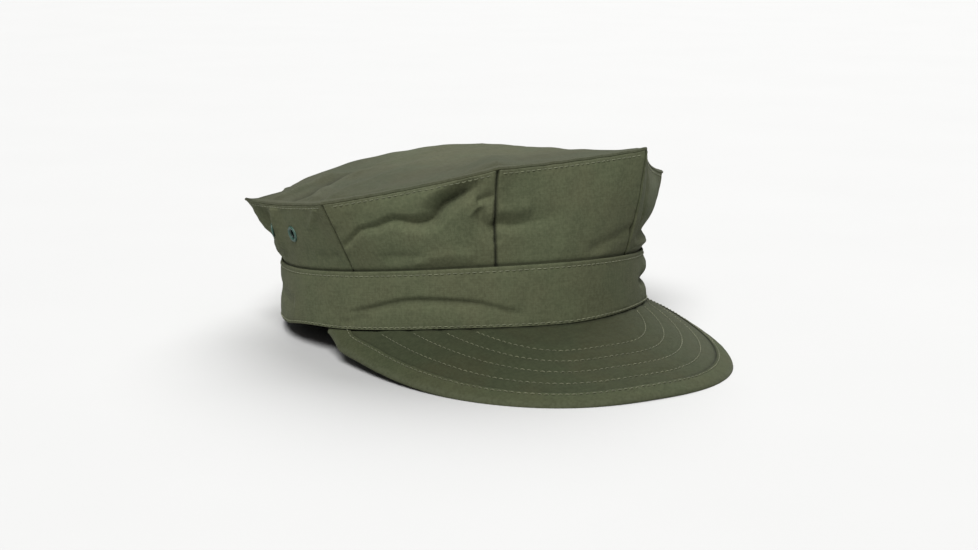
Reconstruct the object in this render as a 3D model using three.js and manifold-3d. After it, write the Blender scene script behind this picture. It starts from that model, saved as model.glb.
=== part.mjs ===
import Module from 'manifold-3d';
import * as THREE from 'three';
import { mergeVertices } from 'three/addons/utils/BufferGeometryUtils.js';

// An eight-pointed patrol cap in plain cotton: a head band, eight side panels, a domed top,
// a stiffened visor with a bound edge, and two pairs of vent eyelets. Sizes are millimetres.
// The cap is drawn level first: the visor points to -y, the wearer's right hand is at -x,
// and z = 0 is the plane of the band's lower edge. The last section tips it on to a table,
// where it stands on two places of the visor's edge and on the back of the band.

// Head band
const BAND_HALF_WIDTH = 88;
const BAND_HALF_LENGTH = 100;
const BAND_ROUNDNESS = 1.86;
const BAND_HEIGHT = 28.2;
const BAND_WALL = 2;
const BAND_TOP_LEAN = 1.2;
const BAND_COLUMNS = 72;
const BAND_ROWS = 8;

// The band's upper edge rises and falls a little on its way round
const BAND_TOP_WAVES = [
  { turns: 1, cosine: -1.0, sine: 0 },
  { turns: 2, cosine: 2.0, sine: 0.9 },
];

// Behind the visor the band's lower edge runs on level
const BAND_END_LEVEL = -1.1;
const BAND_END_FROM = 77;
const BAND_END_TO = 100;

// Visor: an arched board that slopes forward and falls away at the sides
const VISOR_ROOT = 1.8;
const VISOR_SLOPE = 0.344;
const VISOR_CURL = 0.00095;
const VISOR_ARCH = 0.0022;
const VISOR_ARCH_GAIN = 0.0000015;
const VISOR_SIDE_DROP = 1.05e-7;
const VISOR_HALF_ANGLE = 70;
const VISOR_END_SHARE = 0.85;
const VISOR_BOARD = 2.2;
const VISOR_THINNED = 0.8;

// Between these two places from front to back the visor's ends sink below the band's edge
const VISOR_END_SINK = 0.9;
const VISOR_SINK_FROM = -62;
const VISOR_SINK_TO = -40;

// The board thins between these distances from the visor's edge and ends inside the binding
const BOARD_THIN_FROM = 10;
const BOARD_THIN_TO = 8.5;
const BOARD_INSET = 2;

// Steps over the visor from one side to the other, and from the seam to the edge
const VISOR_COLUMNS = 40;
const VISOR_ROWS = 6;

// The visor's outer edge in plan; its two ends turn in and tuck under the band
const EDGE_HALF_WIDTH = 87.6;
const EDGE_REACH = 127.1;
const EDGE_CENTRE = -31.6;
const EDGE_SQUARENESS = 2.42;
const EDGE_HALF_ANGLE = 92;
const EDGE_TUCK_FROM = 87;
const EDGE_TUCK = 3.2;
const EDGE_REST_ANGLE = 75;

// The cloth strip that wraps the visor's edge
const BINDING_WIDTH = 7;
const BINDING_CLOTH = 0.8;
const BINDING_HALF_HOLLOW = 0.7;
const BINDING_ROUND = 2;
const BINDING_FLOOR = 1.6;
const BINDING_STEPS = 60;

// Crown
const CROWN_WALL = 1.5;
const CROWN_TUCK = 0.8;
const PANEL_SPAN = 78;
const PANEL_RISE = 42;
const PANEL_COLUMNS = 12;
const PANEL_ROWS = 9;

// The top rises to a soft crest, and puckers run in from the eight points
const CREST = new THREE.Vector3(12, -7, 78);
const CREST_POWER = 1.5;
const CREST_BACK_RISE = 0.05;
const TOP_SPOKES_PER_PANEL = 6;
const TOP_RINGS = 6;
const PUCKER_HEIGHT = 1.8;
const PUCKER_WIDTH = 8;

// Parts of the way from the crest to a point where its pucker starts, stands full and ends
const PUCKER_FROM = 0.35;
const PUCKER_FULL = 0.8;
const PUCKER_END = 0.9;

// From this part of its height upwards, a side panel drops away to pass under the top
const SHOULDER_FROM = 0.6;

// Sewn pieces lie this far apart
const GAP = 0.3;

// How far the cloth is pressed flat where the cap touches the table
const SETTLE = 0.5;

const COLOURS = {
  crown: 0x575b46,
  top: 0x6f7160,
  band: 0x595d49,
  visor: 0x464a38,
  binding: 0x565a45,
  eyelet: 0x2f5c4a,
};

// A table's rows get the names of its columns
function namedRows(columns, rows) {
  return rows.map((row) => Object.fromEntries(columns.map((column, i) => [column, row[i]])));
}

// Where the eight seams leave the band, and where their points stand. foot and turn are angles in
// degrees from the front towards the wearer's right. reach is the point's distance from the middle.
// bow and side are how far the middle of the seam lies out and round from a straight line.
// fall is the power with which the top falls from its crest to the point: under 1 it hangs slack.
const CORNERS = namedRows(
  ['foot', 'turn', 'reach', 'height', 'bow', 'side', 'fall'],
  [
    [-26.3, -24.6, 105.9, 76.7, 1.4, 0, 1.65],
    [22.6, 19.8, 104.2, 73.0, -0.5, 0.5, 1.5],
    [66.4, 66.5, 100.5, 59.3, 0, 0, 1.5],
    [112, 112.5, 102.7, 57.5, -1.5, 0, 0.8],
    [156, 150, 104, 56.5, -1.5, 0, 1.6],
    [204, 208, 104, 56.5, -1.5, 0, 1.5],
    [248, 247.5, 102.7, 57.5, -1.5, 0, 1.3],
    [293.6, 292.9, 102, 60.7, 2.5, 0, 1.65],
  ],
);

// The panel that follows each corner. belly is how far its cloth swells between its seams,
// drop and draw are how far the middle of its upper edge sinks and pulls in.
const PANELS = [
  { name: 'side_front', belly: 1, drop: 0.6, draw: 0 },
  { name: 'side_front_right', belly: 1.5, drop: 0.8, draw: 0 },
  { name: 'side_right', belly: 1, drop: 1.2, draw: 0 },
  { name: 'side_back_right', belly: 1, drop: 2.5, draw: 1 },
  { name: 'side_back', belly: 1, drop: 2, draw: 1 },
  { name: 'side_back_left', belly: 1, drop: 2.5, draw: 1 },
  { name: 'side_left', belly: 1, drop: 1.2, draw: 0 },
  { name: 'side_front_left', belly: 1.5, drop: 1.4, draw: 2.8 },
];

// Folds of the crown's side, each a valley along a curve with four control points. a0..a3 count
// panels round from the first corner, u0..u3 run from 0 at the band to 1 at the top. depth1 and
// depth2 are the valley's depths at its ends, above and below the widths of its two flanks, all in
// millimetres. A negative depth is a ridge.
const FOLDS = namedRows(
  ['a0', 'u0', 'a1', 'u1', 'a2', 'u2', 'a3', 'u3', 'depth1', 'depth2', 'above', 'below'],
  [
    [1.02, 0.94, 1.18, 0.93, 1.32, 0.78, 1.43, 0.6, 3, 4.5, 5, 11],
    [1.33, 0.68, 1.48, 0.62, 1.72, 0.72, 2.0, 0.42, 4, 1.8, 4, 10],
    [1.0, 0.3, 1.04, 0.42, 1.1, 0.5, 1.12, 0.68, 2.4, 1.2, 4, 5],
    [1.1, 0.07, 1.25, 0.13, 1.4, 0.13, 1.58, 0.07, 0.8, 0.8, 3, 4],
    [0.68, 0.48, 0.8, 0.44, 0.9, 0.42, 1.06, 0.42, 0.6, 2.8, 4, 8],
    [-0.03, 0.28, 0.1, 0.22, 0.3, 0.15, 0.48, 0.09, 1.6, 0.8, 4, 6],
    [2.05, 0.22, 2.12, 0.2, 2.2, 0.2, 2.28, 0.22, 1, 1, 3, 4],
    [7.72, 0.35, 7.78, 0.5, 7.7, 0.75, 7.78, 0.97, 1.6, 1.2, 4, 4],
    [7.1, 0.3, 7.3, 0.2, 7.6, 0.3, 7.95, 0.2, 1.8, 1.8, 4, 8],
    [3.12, 0.85, 3.3, 0.8, 3.5, 0.5, 3.8, 0.45, 2.4, 1.4, 5, 9],
    [4.15, 0.35, 4.4, 0.45, 4.6, 0.6, 4.85, 0.55, 1.6, 2, 5, 9],
    [5.15, 0.5, 5.4, 0.45, 5.6, 0.75, 5.9, 0.8, 1.4, 2.2, 5, 9],
    [6.08, 0.3, 6.3, 0.2, 6.6, 0.25, 6.9, 0.35, 1.2, 1.6, 4, 7],
  ],
);

// Creases of the band, in the same way: a0..a3 are degrees round, u0..u3 parts of the band's height
const CREASES = namedRows(
  ['a0', 'u0', 'a1', 'u1', 'a2', 'u2', 'a3', 'u3', 'depth1', 'depth2', 'above', 'below'],
  [
    [8, 0.12, 28, 0.67, 50, 0.67, 72, 0.22, 0.8, 1, 2.6, 4.5],
    [-88, 0.5, -75, 0.52, -55, 0.54, -38, 0.52, 2.6, 2.6, 3.4, 3.4],
    [92, 0.4, 98, 0.44, 106, 0.5, 122, 0.58, 0.9, 0.9, 3, 4],
    [150, 0.6, 170, 0.45, 190, 0.45, 215, 0.6, 0.8, 0.8, 3, 4],
  ],
);

// A fold's curve is cut into this many straight steps, and it fades over this part at each end
const FOLD_STEPS = 14;
const FOLD_FADE = 0.15;

// Folds keep clear of the panel's sewn upper and lower edges by this part of its height
const SEWN_EDGE = 0.08;

// Vent eyelets: across and up as for the folds
const EYELETS = [
  { name: 'eyelet_right_front', across: 2.46, up: 0.53 },
  { name: 'eyelet_right_back', across: 2.7, up: 0.57 },
  { name: 'eyelet_left_front', across: 6.54, up: 0.53 },
  { name: 'eyelet_left_back', across: 6.3, up: 0.57 },
];
const EYELET_SIDES = 12;
const EYELET_BORE = 1.9;
const EYELET_BARREL = 2.3;
const EYELET_FLANGE = 3.8;
const EYELET_INNER_FLANGE = 3.4;
const EYELET_ROLL = 0.5;
const EYELET_THICK = 0.6;
const PUNCH_LENGTH = 8;

const radians = THREE.MathUtils.degToRad;
const degrees = THREE.MathUtils.radToDeg;
const mix = THREE.MathUtils.lerp;
const ease = THREE.MathUtils.smoothstep;

// Shape of the band and of the visor's surface

function bandPlan(turn, inset) {
  const c = Math.cos(turn);
  const s = Math.sin(turn);
  const bulge = (Math.abs(c) ** BAND_ROUNDNESS + Math.abs(s) ** BAND_ROUNDNESS) ** (-1 / BAND_ROUNDNESS);
  const x = -BAND_HALF_WIDTH * s * bulge;
  const y = -BAND_HALF_LENGTH * c * bulge;
  const shrink = 1 - inset / Math.hypot(x, y);
  return new THREE.Vector2(x * shrink, y * shrink);
}

function signedTurn(turn) {
  return Math.atan2(Math.sin(turn), Math.cos(turn));
}

function visorHeight(x, y) {
  const back = y + BAND_HALF_LENGTH;
  const slope = VISOR_ROOT + VISOR_SLOPE * back - VISOR_CURL * back ** 2;
  return slope - (VISOR_ARCH + VISOR_ARCH_GAIN * back) * x ** 2 - VISOR_SIDE_DROP * x ** 4;
}

function visorTop(x, y) {
  return visorHeight(x, y) - VISOR_END_SINK * ease(y, VISOR_SINK_FROM, VISOR_SINK_TO);
}

function bandLow(turn, inset) {
  const away = Math.abs(signedTurn(turn));
  const seam = bandPlan(turn, inset);
  const behind = ease(away, radians(BAND_END_FROM), radians(BAND_END_TO));
  return mix(visorHeight(seam.x, seam.y) + GAP, BAND_END_LEVEL, behind);
}

function bandHigh(turn) {
  let height = BAND_HEIGHT;
  for (const wave of BAND_TOP_WAVES) {
    height += wave.cosine * Math.cos(wave.turns * turn) + wave.sine * Math.sin(wave.turns * turn);
  }
  return height;
}

function edgeCurve(turn) {
  const power = 2 / EDGE_SQUARENESS;
  const c = Math.cos(turn);
  const s = Math.sin(turn);
  const tuck = EDGE_TUCK * ease(Math.abs(turn), radians(EDGE_TUCK_FROM), radians(EDGE_HALF_ANGLE));
  const x = -Math.sign(s) * (EDGE_HALF_WIDTH * Math.abs(s) ** power - tuck);
  return new THREE.Vector2(x, EDGE_CENTRE - EDGE_REACH * Math.sign(c) * Math.abs(c) ** power);
}

// From -1 at one end of the visor's edge to 1 at the other, with its stations closer at the ends
function edgeTurn(share) {
  return radians(EDGE_HALF_ANGLE) * (1.5 * share - 0.5 * share ** 3);
}

function edgePlan(turn, inset) {
  const step = 0.01;
  const point = edgeCurve(turn);
  const along = edgeCurve(turn + step).sub(edgeCurve(turn - step)).normalize();
  return new THREE.Vector2(point.x + along.y * inset, point.y - along.x * inset);
}

// Folds: the cloth sinks by a point's distance to the fold's curve

function curvePoints(row, scale) {
  const controls = [
    new THREE.Vector2(row.a0, row.u0),
    new THREE.Vector2(row.a1, row.u1),
    new THREE.Vector2(row.a2, row.u2),
    new THREE.Vector2(row.a3, row.u3),
  ];
  controls.forEach((control) => control.multiply(scale));
  return new THREE.CubicBezierCurve(...controls).getPoints(FOLD_STEPS);
}

function valleyDepth(point, line, row) {
  let distance = Infinity;
  let width = row.above;
  let along = 0;
  for (let i = 1; i < line.length; i += 1) {
    const step = line[i].clone().sub(line[i - 1]);
    const offset = point.clone().sub(line[i - 1]);
    const part = THREE.MathUtils.clamp(offset.dot(step) / step.lengthSq(), 0, 1);
    const away = offset.addScaledVector(step, -part);
    if (away.length() < distance) {
      distance = away.length();
      width = step.cross(away) > 0 ? row.above : row.below;
      along = (i - 1 + part) / (line.length - 1);
    }
  }
  const fade = ease(along, 0, FOLD_FADE) * (1 - ease(along, 1 - FOLD_FADE, 1));
  return mix(row.depth1, row.depth2, along) * fade * Math.exp(-((distance / width) ** 2));
}

function valleyTable(rows, scale) {
  const lines = rows.map((row) => curvePoints(row, scale));
  return (across, up) => {
    const point = new THREE.Vector2(across, up).multiply(scale);
    return rows.reduce((sum, row, i) => sum + valleyDepth(point, lines[i], row), 0);
  };
}

const foldDepth = valleyTable(FOLDS, new THREE.Vector2(PANEL_SPAN, PANEL_RISE));
const creaseDepth = valleyTable(CREASES, new THREE.Vector2(radians(1) * BAND_HALF_WIDTH, BAND_HEIGHT));

// Shape of the crown

function pushOut(point, distance) {
  const grow = 1 + distance / Math.hypot(point.x, point.y);
  return new THREE.Vector3(point.x * grow, point.y * grow, point.z);
}

function turnRound(point, distance) {
  const angle = -distance / Math.hypot(point.x, point.y);
  return point.clone().applyAxisAngle(new THREE.Vector3(0, 0, 1), angle);
}

function cornerTip(corner) {
  const turn = radians(corner.turn);
  return new THREE.Vector3(-corner.reach * Math.sin(turn), -corner.reach * Math.cos(turn), corner.height);
}

function nextCorner(index) {
  if (index + 1 < CORNERS.length) return CORNERS[index + 1];
  return { ...CORNERS[0], foot: CORNERS[0].foot + 360, turn: CORNERS[0].turn + 360 };
}

function crownFoot(foot) {
  const turn = radians(foot);
  const plan = bandPlan(turn, BAND_TOP_LEAN + CROWN_TUCK);
  return new THREE.Vector3(plan.x, plan.y, bandHigh(turn) + GAP);
}

function seamPoint(corner, up) {
  const straight = crownFoot(corner.foot).lerp(cornerTip(corner), up);
  const swell = 4 * up * (1 - up);
  return turnRound(pushOut(straight, corner.bow * swell), corner.side * swell);
}

function upperEdge(index, part) {
  const swell = 4 * part * (1 - part);
  const chord = cornerTip(CORNERS[index]).lerp(cornerTip(nextCorner(index)), part);
  chord.z -= PANELS[index].drop * swell;
  return pushOut(chord, -PANELS[index].draw * swell);
}

// A panel's cloth spans its four edges, swells between them and sinks into its folds
function panelPoint(index, part, up) {
  const first = CORNERS[index];
  const second = nextCorner(index);
  const rise = crownFoot(mix(first.foot, second.foot, part)).lerp(upperEdge(index, part), up);
  const seams = seamPoint(first, up).lerp(seamPoint(second, up), part);
  const lowChord = crownFoot(first.foot).lerp(crownFoot(second.foot), part);
  const highChord = cornerTip(first).lerp(cornerTip(second), part);
  const point = rise.add(seams).sub(lowChord.lerp(highChord, up));
  const belly = PANELS[index].belly * Math.sin(Math.PI * part) * Math.sin(Math.PI * up);
  const held = ease(up, 0, SEWN_EDGE) * (1 - ease(up, 1 - SEWN_EDGE, 1));
  return pushOut(point, belly - foldDepth(index + part, up) * held);
}

function topPoint(index, part, out) {
  const edge = upperEdge(index, part);
  const point = new THREE.Vector3(mix(CREST.x, edge.x, out), mix(CREST.y, edge.y, out), 0);
  const fall = mix(CORNERS[index].fall, nextCorner(index).fall, part);
  const reach = out ** mix(CREST_POWER, fall, out);
  point.z = mix(CREST.z + CREST_BACK_RISE * (point.y - CREST.y), edge.z, reach);
  for (const corner of CORNERS) {
    const tip = cornerTip(corner);
    const spoke = new THREE.Vector2(tip.x - CREST.x, tip.y - CREST.y);
    const here = new THREE.Vector2(point.x - CREST.x, point.y - CREST.y);
    const along = here.dot(spoke) / spoke.lengthSq();
    const aside = here.cross(spoke) / spoke.length();
    const held = ease(along, PUCKER_FROM, PUCKER_FULL) * (1 - ease(out, PUCKER_END, 1));
    point.z += PUCKER_HEIGHT * held * Math.exp(-((aside / PUCKER_WIDTH) ** 2));
  }
  return point;
}

// The table under the tipped cap, found from the heel of the band and the visor's underside

const heel = new THREE.Vector3(0, BAND_HALF_LENGTH, bandLow(Math.PI, 0));

function restingTilt() {
  let tilt = 0;
  for (let angle = -EDGE_REST_ANGLE; angle <= EDGE_REST_ANGLE; angle += 1) {
    const plan = edgePlan(radians(angle), BINDING_ROUND);
    const underside = visorTop(plan.x, plan.y) - VISOR_BOARD - GAP;
    tilt = Math.max(tilt, Math.atan2(heel.z - underside, heel.y - plan.y));
  }
  return tilt;
}

const REST_TILT = restingTilt();

function heightWhenTipped(point) {
  return point.z * Math.cos(REST_TILT) - point.y * Math.sin(REST_TILT);
}

const TABLE = heightWhenTipped(heel) + SETTLE;

function aboveTable(x, y, z) {
  const point = new THREE.Vector3(x, y, z);
  const sunk = Math.max(0, TABLE - heightWhenTipped(point));
  point.z += sunk / Math.cos(REST_TILT);
  return point;
}

// Closed bodies

function closedBody(points, faces) {
  const geometry = new THREE.BufferGeometry().setFromPoints(points);
  geometry.setIndex(faces.flat());
  return geometry;
}

function quad(a, b, c, d) {
  return [a, b, c, a, c, d];
}

// A sheet with an outer and an inner face. Columns run towards the wearer's right and rows upwards;
// a loop joins its last column to its first, and an open sheet gets a rim on every side.
function sheet(columns, rows, loop, outer, inner) {
  const stride = loop ? columns : columns + 1;
  const points = [];
  for (const face of [outer, inner]) {
    for (let row = 0; row <= rows; row += 1) {
      for (let column = 0; column < stride; column += 1) points.push(face(column / columns, row / rows));
    }
  }
  const at = (side, column, row) => (side * (rows + 1) + row) * stride + (column % stride);
  const faces = [];
  for (let column = 0; column < columns; column += 1) {
    const next = column + 1;
    for (let row = 0; row < rows; row += 1) {
      faces.push(quad(at(0, column, row), at(0, column, row + 1), at(0, next, row + 1), at(0, next, row)));
      faces.push(quad(at(1, column, row), at(1, next, row), at(1, next, row + 1), at(1, column, row + 1)));
    }
    faces.push(quad(at(0, column, 0), at(0, next, 0), at(1, next, 0), at(1, column, 0)));
    faces.push(quad(at(0, column, rows), at(1, column, rows), at(1, next, rows), at(0, next, rows)));
  }
  for (let row = 0; !loop && row < rows; row += 1) {
    const over = row + 1;
    faces.push(quad(at(0, 0, row), at(1, 0, row), at(1, 0, over), at(0, 0, over)));
    faces.push(quad(at(0, columns, row), at(0, columns, over), at(1, columns, over), at(1, columns, row)));
  }
  return closedBody(points, faces);
}

function bandBody() {
  const wall = (inset) => (round, rise) => {
    const turn = round * 2 * Math.PI;
    const angle = degrees(turn);
    const crease = creaseDepth(angle, rise) + creaseDepth(angle - 360, rise);
    const plan = bandPlan(turn, inset + BAND_TOP_LEAN * rise + crease);
    return aboveTable(plan.x, plan.y, mix(bandLow(turn, inset), bandHigh(turn), rise));
  };
  return sheet(BAND_COLUMNS, BAND_ROWS, true, wall(0), wall(BAND_WALL));
}

function panelBody(index) {
  const shoulder = CROWN_WALL + GAP;
  const wall = (inset) => (part, up) => {
    const atSeam = part === 0 || part === 1;
    const point = turnRound(panelPoint(index, part, up), atSeam ? (GAP / 2) * (1 - 2 * part) : 0);
    point.z -= shoulder * ease(up, SHOULDER_FROM, 1);
    return pushOut(point, -inset);
  };
  return sheet(PANEL_COLUMNS, PANEL_ROWS, false, wall(0), wall(CROWN_WALL));
}

function topBody() {
  const spokes = TOP_SPOKES_PER_PANEL * CORNERS.length;
  const perSide = 1 + TOP_RINGS * spokes;
  const points = [];
  for (const side of [0, 1]) {
    for (let ring = 0; ring <= TOP_RINGS; ring += 1) {
      for (let spoke = 0; spoke < (ring === 0 ? 1 : spokes); spoke += 1) {
        const index = Math.floor(spoke / TOP_SPOKES_PER_PANEL);
        const part = (spoke % TOP_SPOKES_PER_PANEL) / TOP_SPOKES_PER_PANEL;
        const point = topPoint(index, part, Math.sin((Math.PI / 2) * (ring / TOP_RINGS)));
        point.z -= side * CROWN_WALL;
        points.push(point);
      }
    }
  }
  const at = (side, ring, spoke) => side * perSide + 1 + (ring - 1) * spokes + (spoke % spokes);
  const faces = [];
  for (let spoke = 0; spoke < spokes; spoke += 1) {
    const next = spoke + 1;
    faces.push([0, at(0, 1, next), at(0, 1, spoke)]);
    faces.push([perSide, at(1, 1, spoke), at(1, 1, next)]);
    for (let ring = 1; ring < TOP_RINGS; ring += 1) {
      faces.push(quad(at(0, ring, spoke), at(0, ring, next), at(0, ring + 1, next), at(0, ring + 1, spoke)));
      faces.push(quad(at(1, ring, spoke), at(1, ring + 1, spoke), at(1, ring + 1, next), at(1, ring, next)));
    }
    const rim = TOP_RINGS;
    faces.push(quad(at(0, rim, spoke), at(0, rim, next), at(1, rim, next), at(1, rim, spoke)));
  }
  return closedBody(points, faces);
}

// The visor's board thins towards its edge, where the binding wraps it. Its last two rows mark
// where it starts to thin and where the binding starts.
function visorBody() {
  const slack = 0.1;
  const face = (top) => (round, rise) => {
    const share = 2 * round - 1;
    const root = bandPlan(radians(VISOR_HALF_ANGLE) * share, BAND_WALL);
    const edge = edgePlan(edgeTurn(VISOR_END_SHARE * share), BOARD_INSET);
    const length = root.distanceTo(edge);
    const row = Math.round(rise * VISOR_ROWS);
    const plain = Math.max(1 - (BOARD_THIN_FROM - BOARD_INSET) / length, 0.2);
    const thin = Math.max(1 - (BOARD_THIN_TO - BOARD_INSET) / length, 0.35);
    const out = [thin, 1][row - VISOR_ROWS + 1] ?? (plain * row) / (VISOR_ROWS - 2);
    const plan = root.lerp(edge, out);
    const toEdge = (1 - out) * length + BOARD_INSET;
    const thinned = VISOR_THINNED * (1 - ease(toEdge, BOARD_THIN_TO + slack, BOARD_THIN_FROM - slack));
    return aboveTable(plan.x, plan.y, visorTop(plan.x, plan.y) - (top ? thinned : VISOR_BOARD - thinned));
  };
  return sheet(VISOR_COLUMNS, VISOR_ROWS, false, face(false), face(true));
}

// The binding's section is a U that opens towards the band, round the thinned edge of the board
function bindingBody() {
  const middle = VISOR_BOARD / 2;
  const hollow = BINDING_HALF_HOLLOW;
  const cloth = hollow + BINDING_CLOTH;
  const haunch = BINDING_ROUND * (1 - Math.SQRT1_2);
  const section = [
    new THREE.Vector2(BINDING_WIDTH, cloth),
    new THREE.Vector2(BINDING_ROUND, cloth),
    new THREE.Vector2(haunch, cloth * Math.SQRT1_2),
    new THREE.Vector2(0, 0),
    new THREE.Vector2(haunch, -cloth * Math.SQRT1_2),
    new THREE.Vector2(BINDING_ROUND, -cloth),
    new THREE.Vector2(BINDING_WIDTH, -cloth),
    new THREE.Vector2(BINDING_WIDTH, -hollow),
    new THREE.Vector2(BINDING_FLOOR, -hollow),
    new THREE.Vector2(BINDING_FLOOR, hollow),
    new THREE.Vector2(BINDING_WIDTH, hollow),
  ];
  const points = [];
  for (let step = 0; step <= BINDING_STEPS; step += 1) {
    const turn = edgeTurn((2 * step) / BINDING_STEPS - 1);
    for (const corner of section) {
      const plan = edgePlan(turn, corner.x);
      points.push(aboveTable(plan.x, plan.y, visorTop(plan.x, plan.y) - middle + corner.y));
    }
  }
  const sides = section.length;
  const faces = [];
  for (let step = 0; step < BINDING_STEPS; step += 1) {
    const start = step * sides;
    const end = start + sides;
    for (let side = 0; side < sides; side += 1) {
      const next = (side + 1) % sides;
      faces.push(quad(start + side, end + side, end + next, start + next));
    }
  }
  const last = BINDING_STEPS * sides;
  for (const [i, j, k] of THREE.ShapeUtils.triangulateShape(section, [])) {
    faces.push([i, j, k], [last + i, last + k, last + j]);
  }
  return closedBody(points, faces);
}

// Eyelets: a rolled ring with a flange on both faces of the cloth, round a punched hole

const wasm = await Module();
wasm.setup();

function bareGeometry(geometry) {
  const bare = geometry.clone();
  bare.deleteAttribute('normal');
  bare.deleteAttribute('uv');
  return mergeVertices(bare, 1e-4);
}

function solidFrom(geometry) {
  const vertProperties = Float32Array.from(geometry.attributes.position.array);
  const triVerts = Uint32Array.from(geometry.index.array);
  return new wasm.Manifold(new wasm.Mesh({ numProp: 3, vertProperties, triVerts }));
}

function geometryFrom(solid) {
  const mesh = solid.getMesh();
  const geometry = new THREE.BufferGeometry();
  geometry.setAttribute('position', new THREE.BufferAttribute(Float32Array.from(mesh.vertProperties), 3));
  geometry.setIndex(Array.from(mesh.triVerts));
  return geometry;
}

function eyeletPlace(eyelet) {
  const index = Math.floor(eyelet.across);
  const part = eyelet.across - index;
  const step = EYELET_FLANGE / PANEL_SPAN;
  const round = panelPoint(index, part + step, eyelet.up).sub(panelPoint(index, part - step, eyelet.up));
  const rise = panelPoint(index, part, eyelet.up + step).sub(panelPoint(index, part, eyelet.up - step));
  const outward = rise.cross(round).normalize();
  const position = panelPoint(index, part, eyelet.up);
  position.z -= (CROWN_WALL + GAP) * ease(eyelet.up, SHOULDER_FROM, 1);
  const quaternion = new THREE.Quaternion().setFromUnitVectors(new THREE.Vector3(0, 1, 0), outward);
  return { index, position, quaternion };
}

function punchedPanel(index) {
  let solid = solidFrom(panelBody(index));
  for (const eyelet of EYELETS) {
    const place = eyeletPlace(eyelet);
    if (place.index === index) {
      const hole = EYELET_BARREL + GAP;
      const punch = new THREE.CylinderGeometry(hole, hole, PUNCH_LENGTH, EYELET_SIDES);
      punch.applyQuaternion(place.quaternion);
      punch.translate(...place.position.toArray());
      solid = solid.subtract(solidFrom(bareGeometry(punch)));
    }
  }
  return geometryFrom(solid);
}

function eyeletBody() {
  const back = -CROWN_WALL - GAP;
  const front = GAP;
  const profile = [
    new THREE.Vector2(EYELET_BORE, back - EYELET_THICK),
    new THREE.Vector2(EYELET_INNER_FLANGE, back - EYELET_THICK),
    new THREE.Vector2(EYELET_INNER_FLANGE, back),
    new THREE.Vector2(EYELET_BARREL, back),
    new THREE.Vector2(EYELET_BARREL, front),
    new THREE.Vector2(EYELET_FLANGE, front),
    new THREE.Vector2(EYELET_FLANGE - EYELET_ROLL, front + EYELET_THICK),
    new THREE.Vector2(EYELET_BARREL, front + EYELET_THICK),
    new THREE.Vector2(EYELET_BORE, front),
    new THREE.Vector2(EYELET_BORE, back - EYELET_THICK),
  ];
  return bareGeometry(new THREE.LatheGeometry(profile, EYELET_SIDES));
}

// The assembly

const cap = new THREE.Group();

function addPiece(name, geometry, finish, roughness = 0.9) {
  const material = new THREE.MeshStandardMaterial({ color: COLOURS[finish], roughness, metalness: 0 });
  const mesh = new THREE.Mesh(geometry, material);
  mesh.name = name;
  cap.add(mesh);
  return mesh;
}

addPiece('band', bandBody(), 'band');
const vented = new Set(EYELETS.map((eyelet) => eyeletPlace(eyelet).index));
PANELS.forEach((panel, index) => {
  addPiece(panel.name, vented.has(index) ? punchedPanel(index) : panelBody(index), 'crown');
});
addPiece('crown_top', topBody(), 'top');
addPiece('visor', visorBody(), 'visor');
addPiece('visor_binding', bindingBody(), 'binding');
for (const eyelet of EYELETS) {
  const place = eyeletPlace(eyelet);
  const mesh = addPiece(eyelet.name, eyeletBody(), 'eyelet', 0.35);
  mesh.position.copy(place.position);
  mesh.quaternion.copy(place.quaternion);
}

// The cap tips on to the table, and the part's origin goes under the middle of its box

cap.rotation.x = -REST_TILT;
cap.position.z = -TABLE;

const part = new THREE.Group();
part.add(cap);
part.updateMatrixWorld(true);
const box = new THREE.Box3().setFromObject(part, true);
cap.position.x = -(box.min.x + box.max.x) / 2;
cap.position.y = -(box.min.y + box.max.y) / 2;

export default part;
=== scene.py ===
# %% [markdown]
# # A patrol cap in plain olive cotton
# The cap is sewn from flat cloth: eight side panels, an eight-sided top, a doubled head band and a
# stiff visor with a bound edge. The imported model fixes where each of these pieces is. This script
# makes each of them again as a dense cloth surface, with folds, seams, stitches and a weave.
# We start by loading that model.

import math

import bpy
import bmesh
import numpy as np
from mathutils import Matrix, Vector


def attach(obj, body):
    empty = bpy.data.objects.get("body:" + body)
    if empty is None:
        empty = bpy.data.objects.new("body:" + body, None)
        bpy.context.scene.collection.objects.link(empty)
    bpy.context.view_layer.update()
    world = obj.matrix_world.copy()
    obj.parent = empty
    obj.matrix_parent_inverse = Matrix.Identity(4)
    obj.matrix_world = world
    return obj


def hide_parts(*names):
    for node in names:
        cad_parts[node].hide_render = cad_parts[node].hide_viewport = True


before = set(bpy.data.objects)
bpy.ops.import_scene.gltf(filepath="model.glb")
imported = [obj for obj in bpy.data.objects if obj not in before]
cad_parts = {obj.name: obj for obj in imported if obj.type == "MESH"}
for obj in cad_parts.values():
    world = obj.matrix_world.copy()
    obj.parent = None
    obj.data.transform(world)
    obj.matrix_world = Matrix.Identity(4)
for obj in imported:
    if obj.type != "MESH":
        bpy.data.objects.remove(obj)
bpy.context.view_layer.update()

# %% [markdown]
# ## Small helpers
# A surface is a function from two numbers to a point, and numpy runs it over a whole grid at once.
# Lengths are millimetres in the cap's own level frame: the visor points to -y, the wearer's right
# hand is at -x, and z = 0 is the plane of the band's lower edge.

# %% Blending and moving points
def mix(a, b, t):
    return a + (b - a) * t


def ease(value, start, end):
    t = np.clip((value - start) / (end - start), 0, 1)
    return t * t * (3 - 2 * t)


def bump(distance, width):
    return np.exp(-((distance / width) ** 2))


def points_of(x, y, z):
    return np.stack(np.broadcast_arrays(x, y, z), axis=-1).astype(float)


def push_out(points, distance):
    grow = 1 + distance / np.hypot(points[..., 0], points[..., 1])
    return points_of(points[..., 0] * grow, points[..., 1] * grow, points[..., 2])


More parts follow.
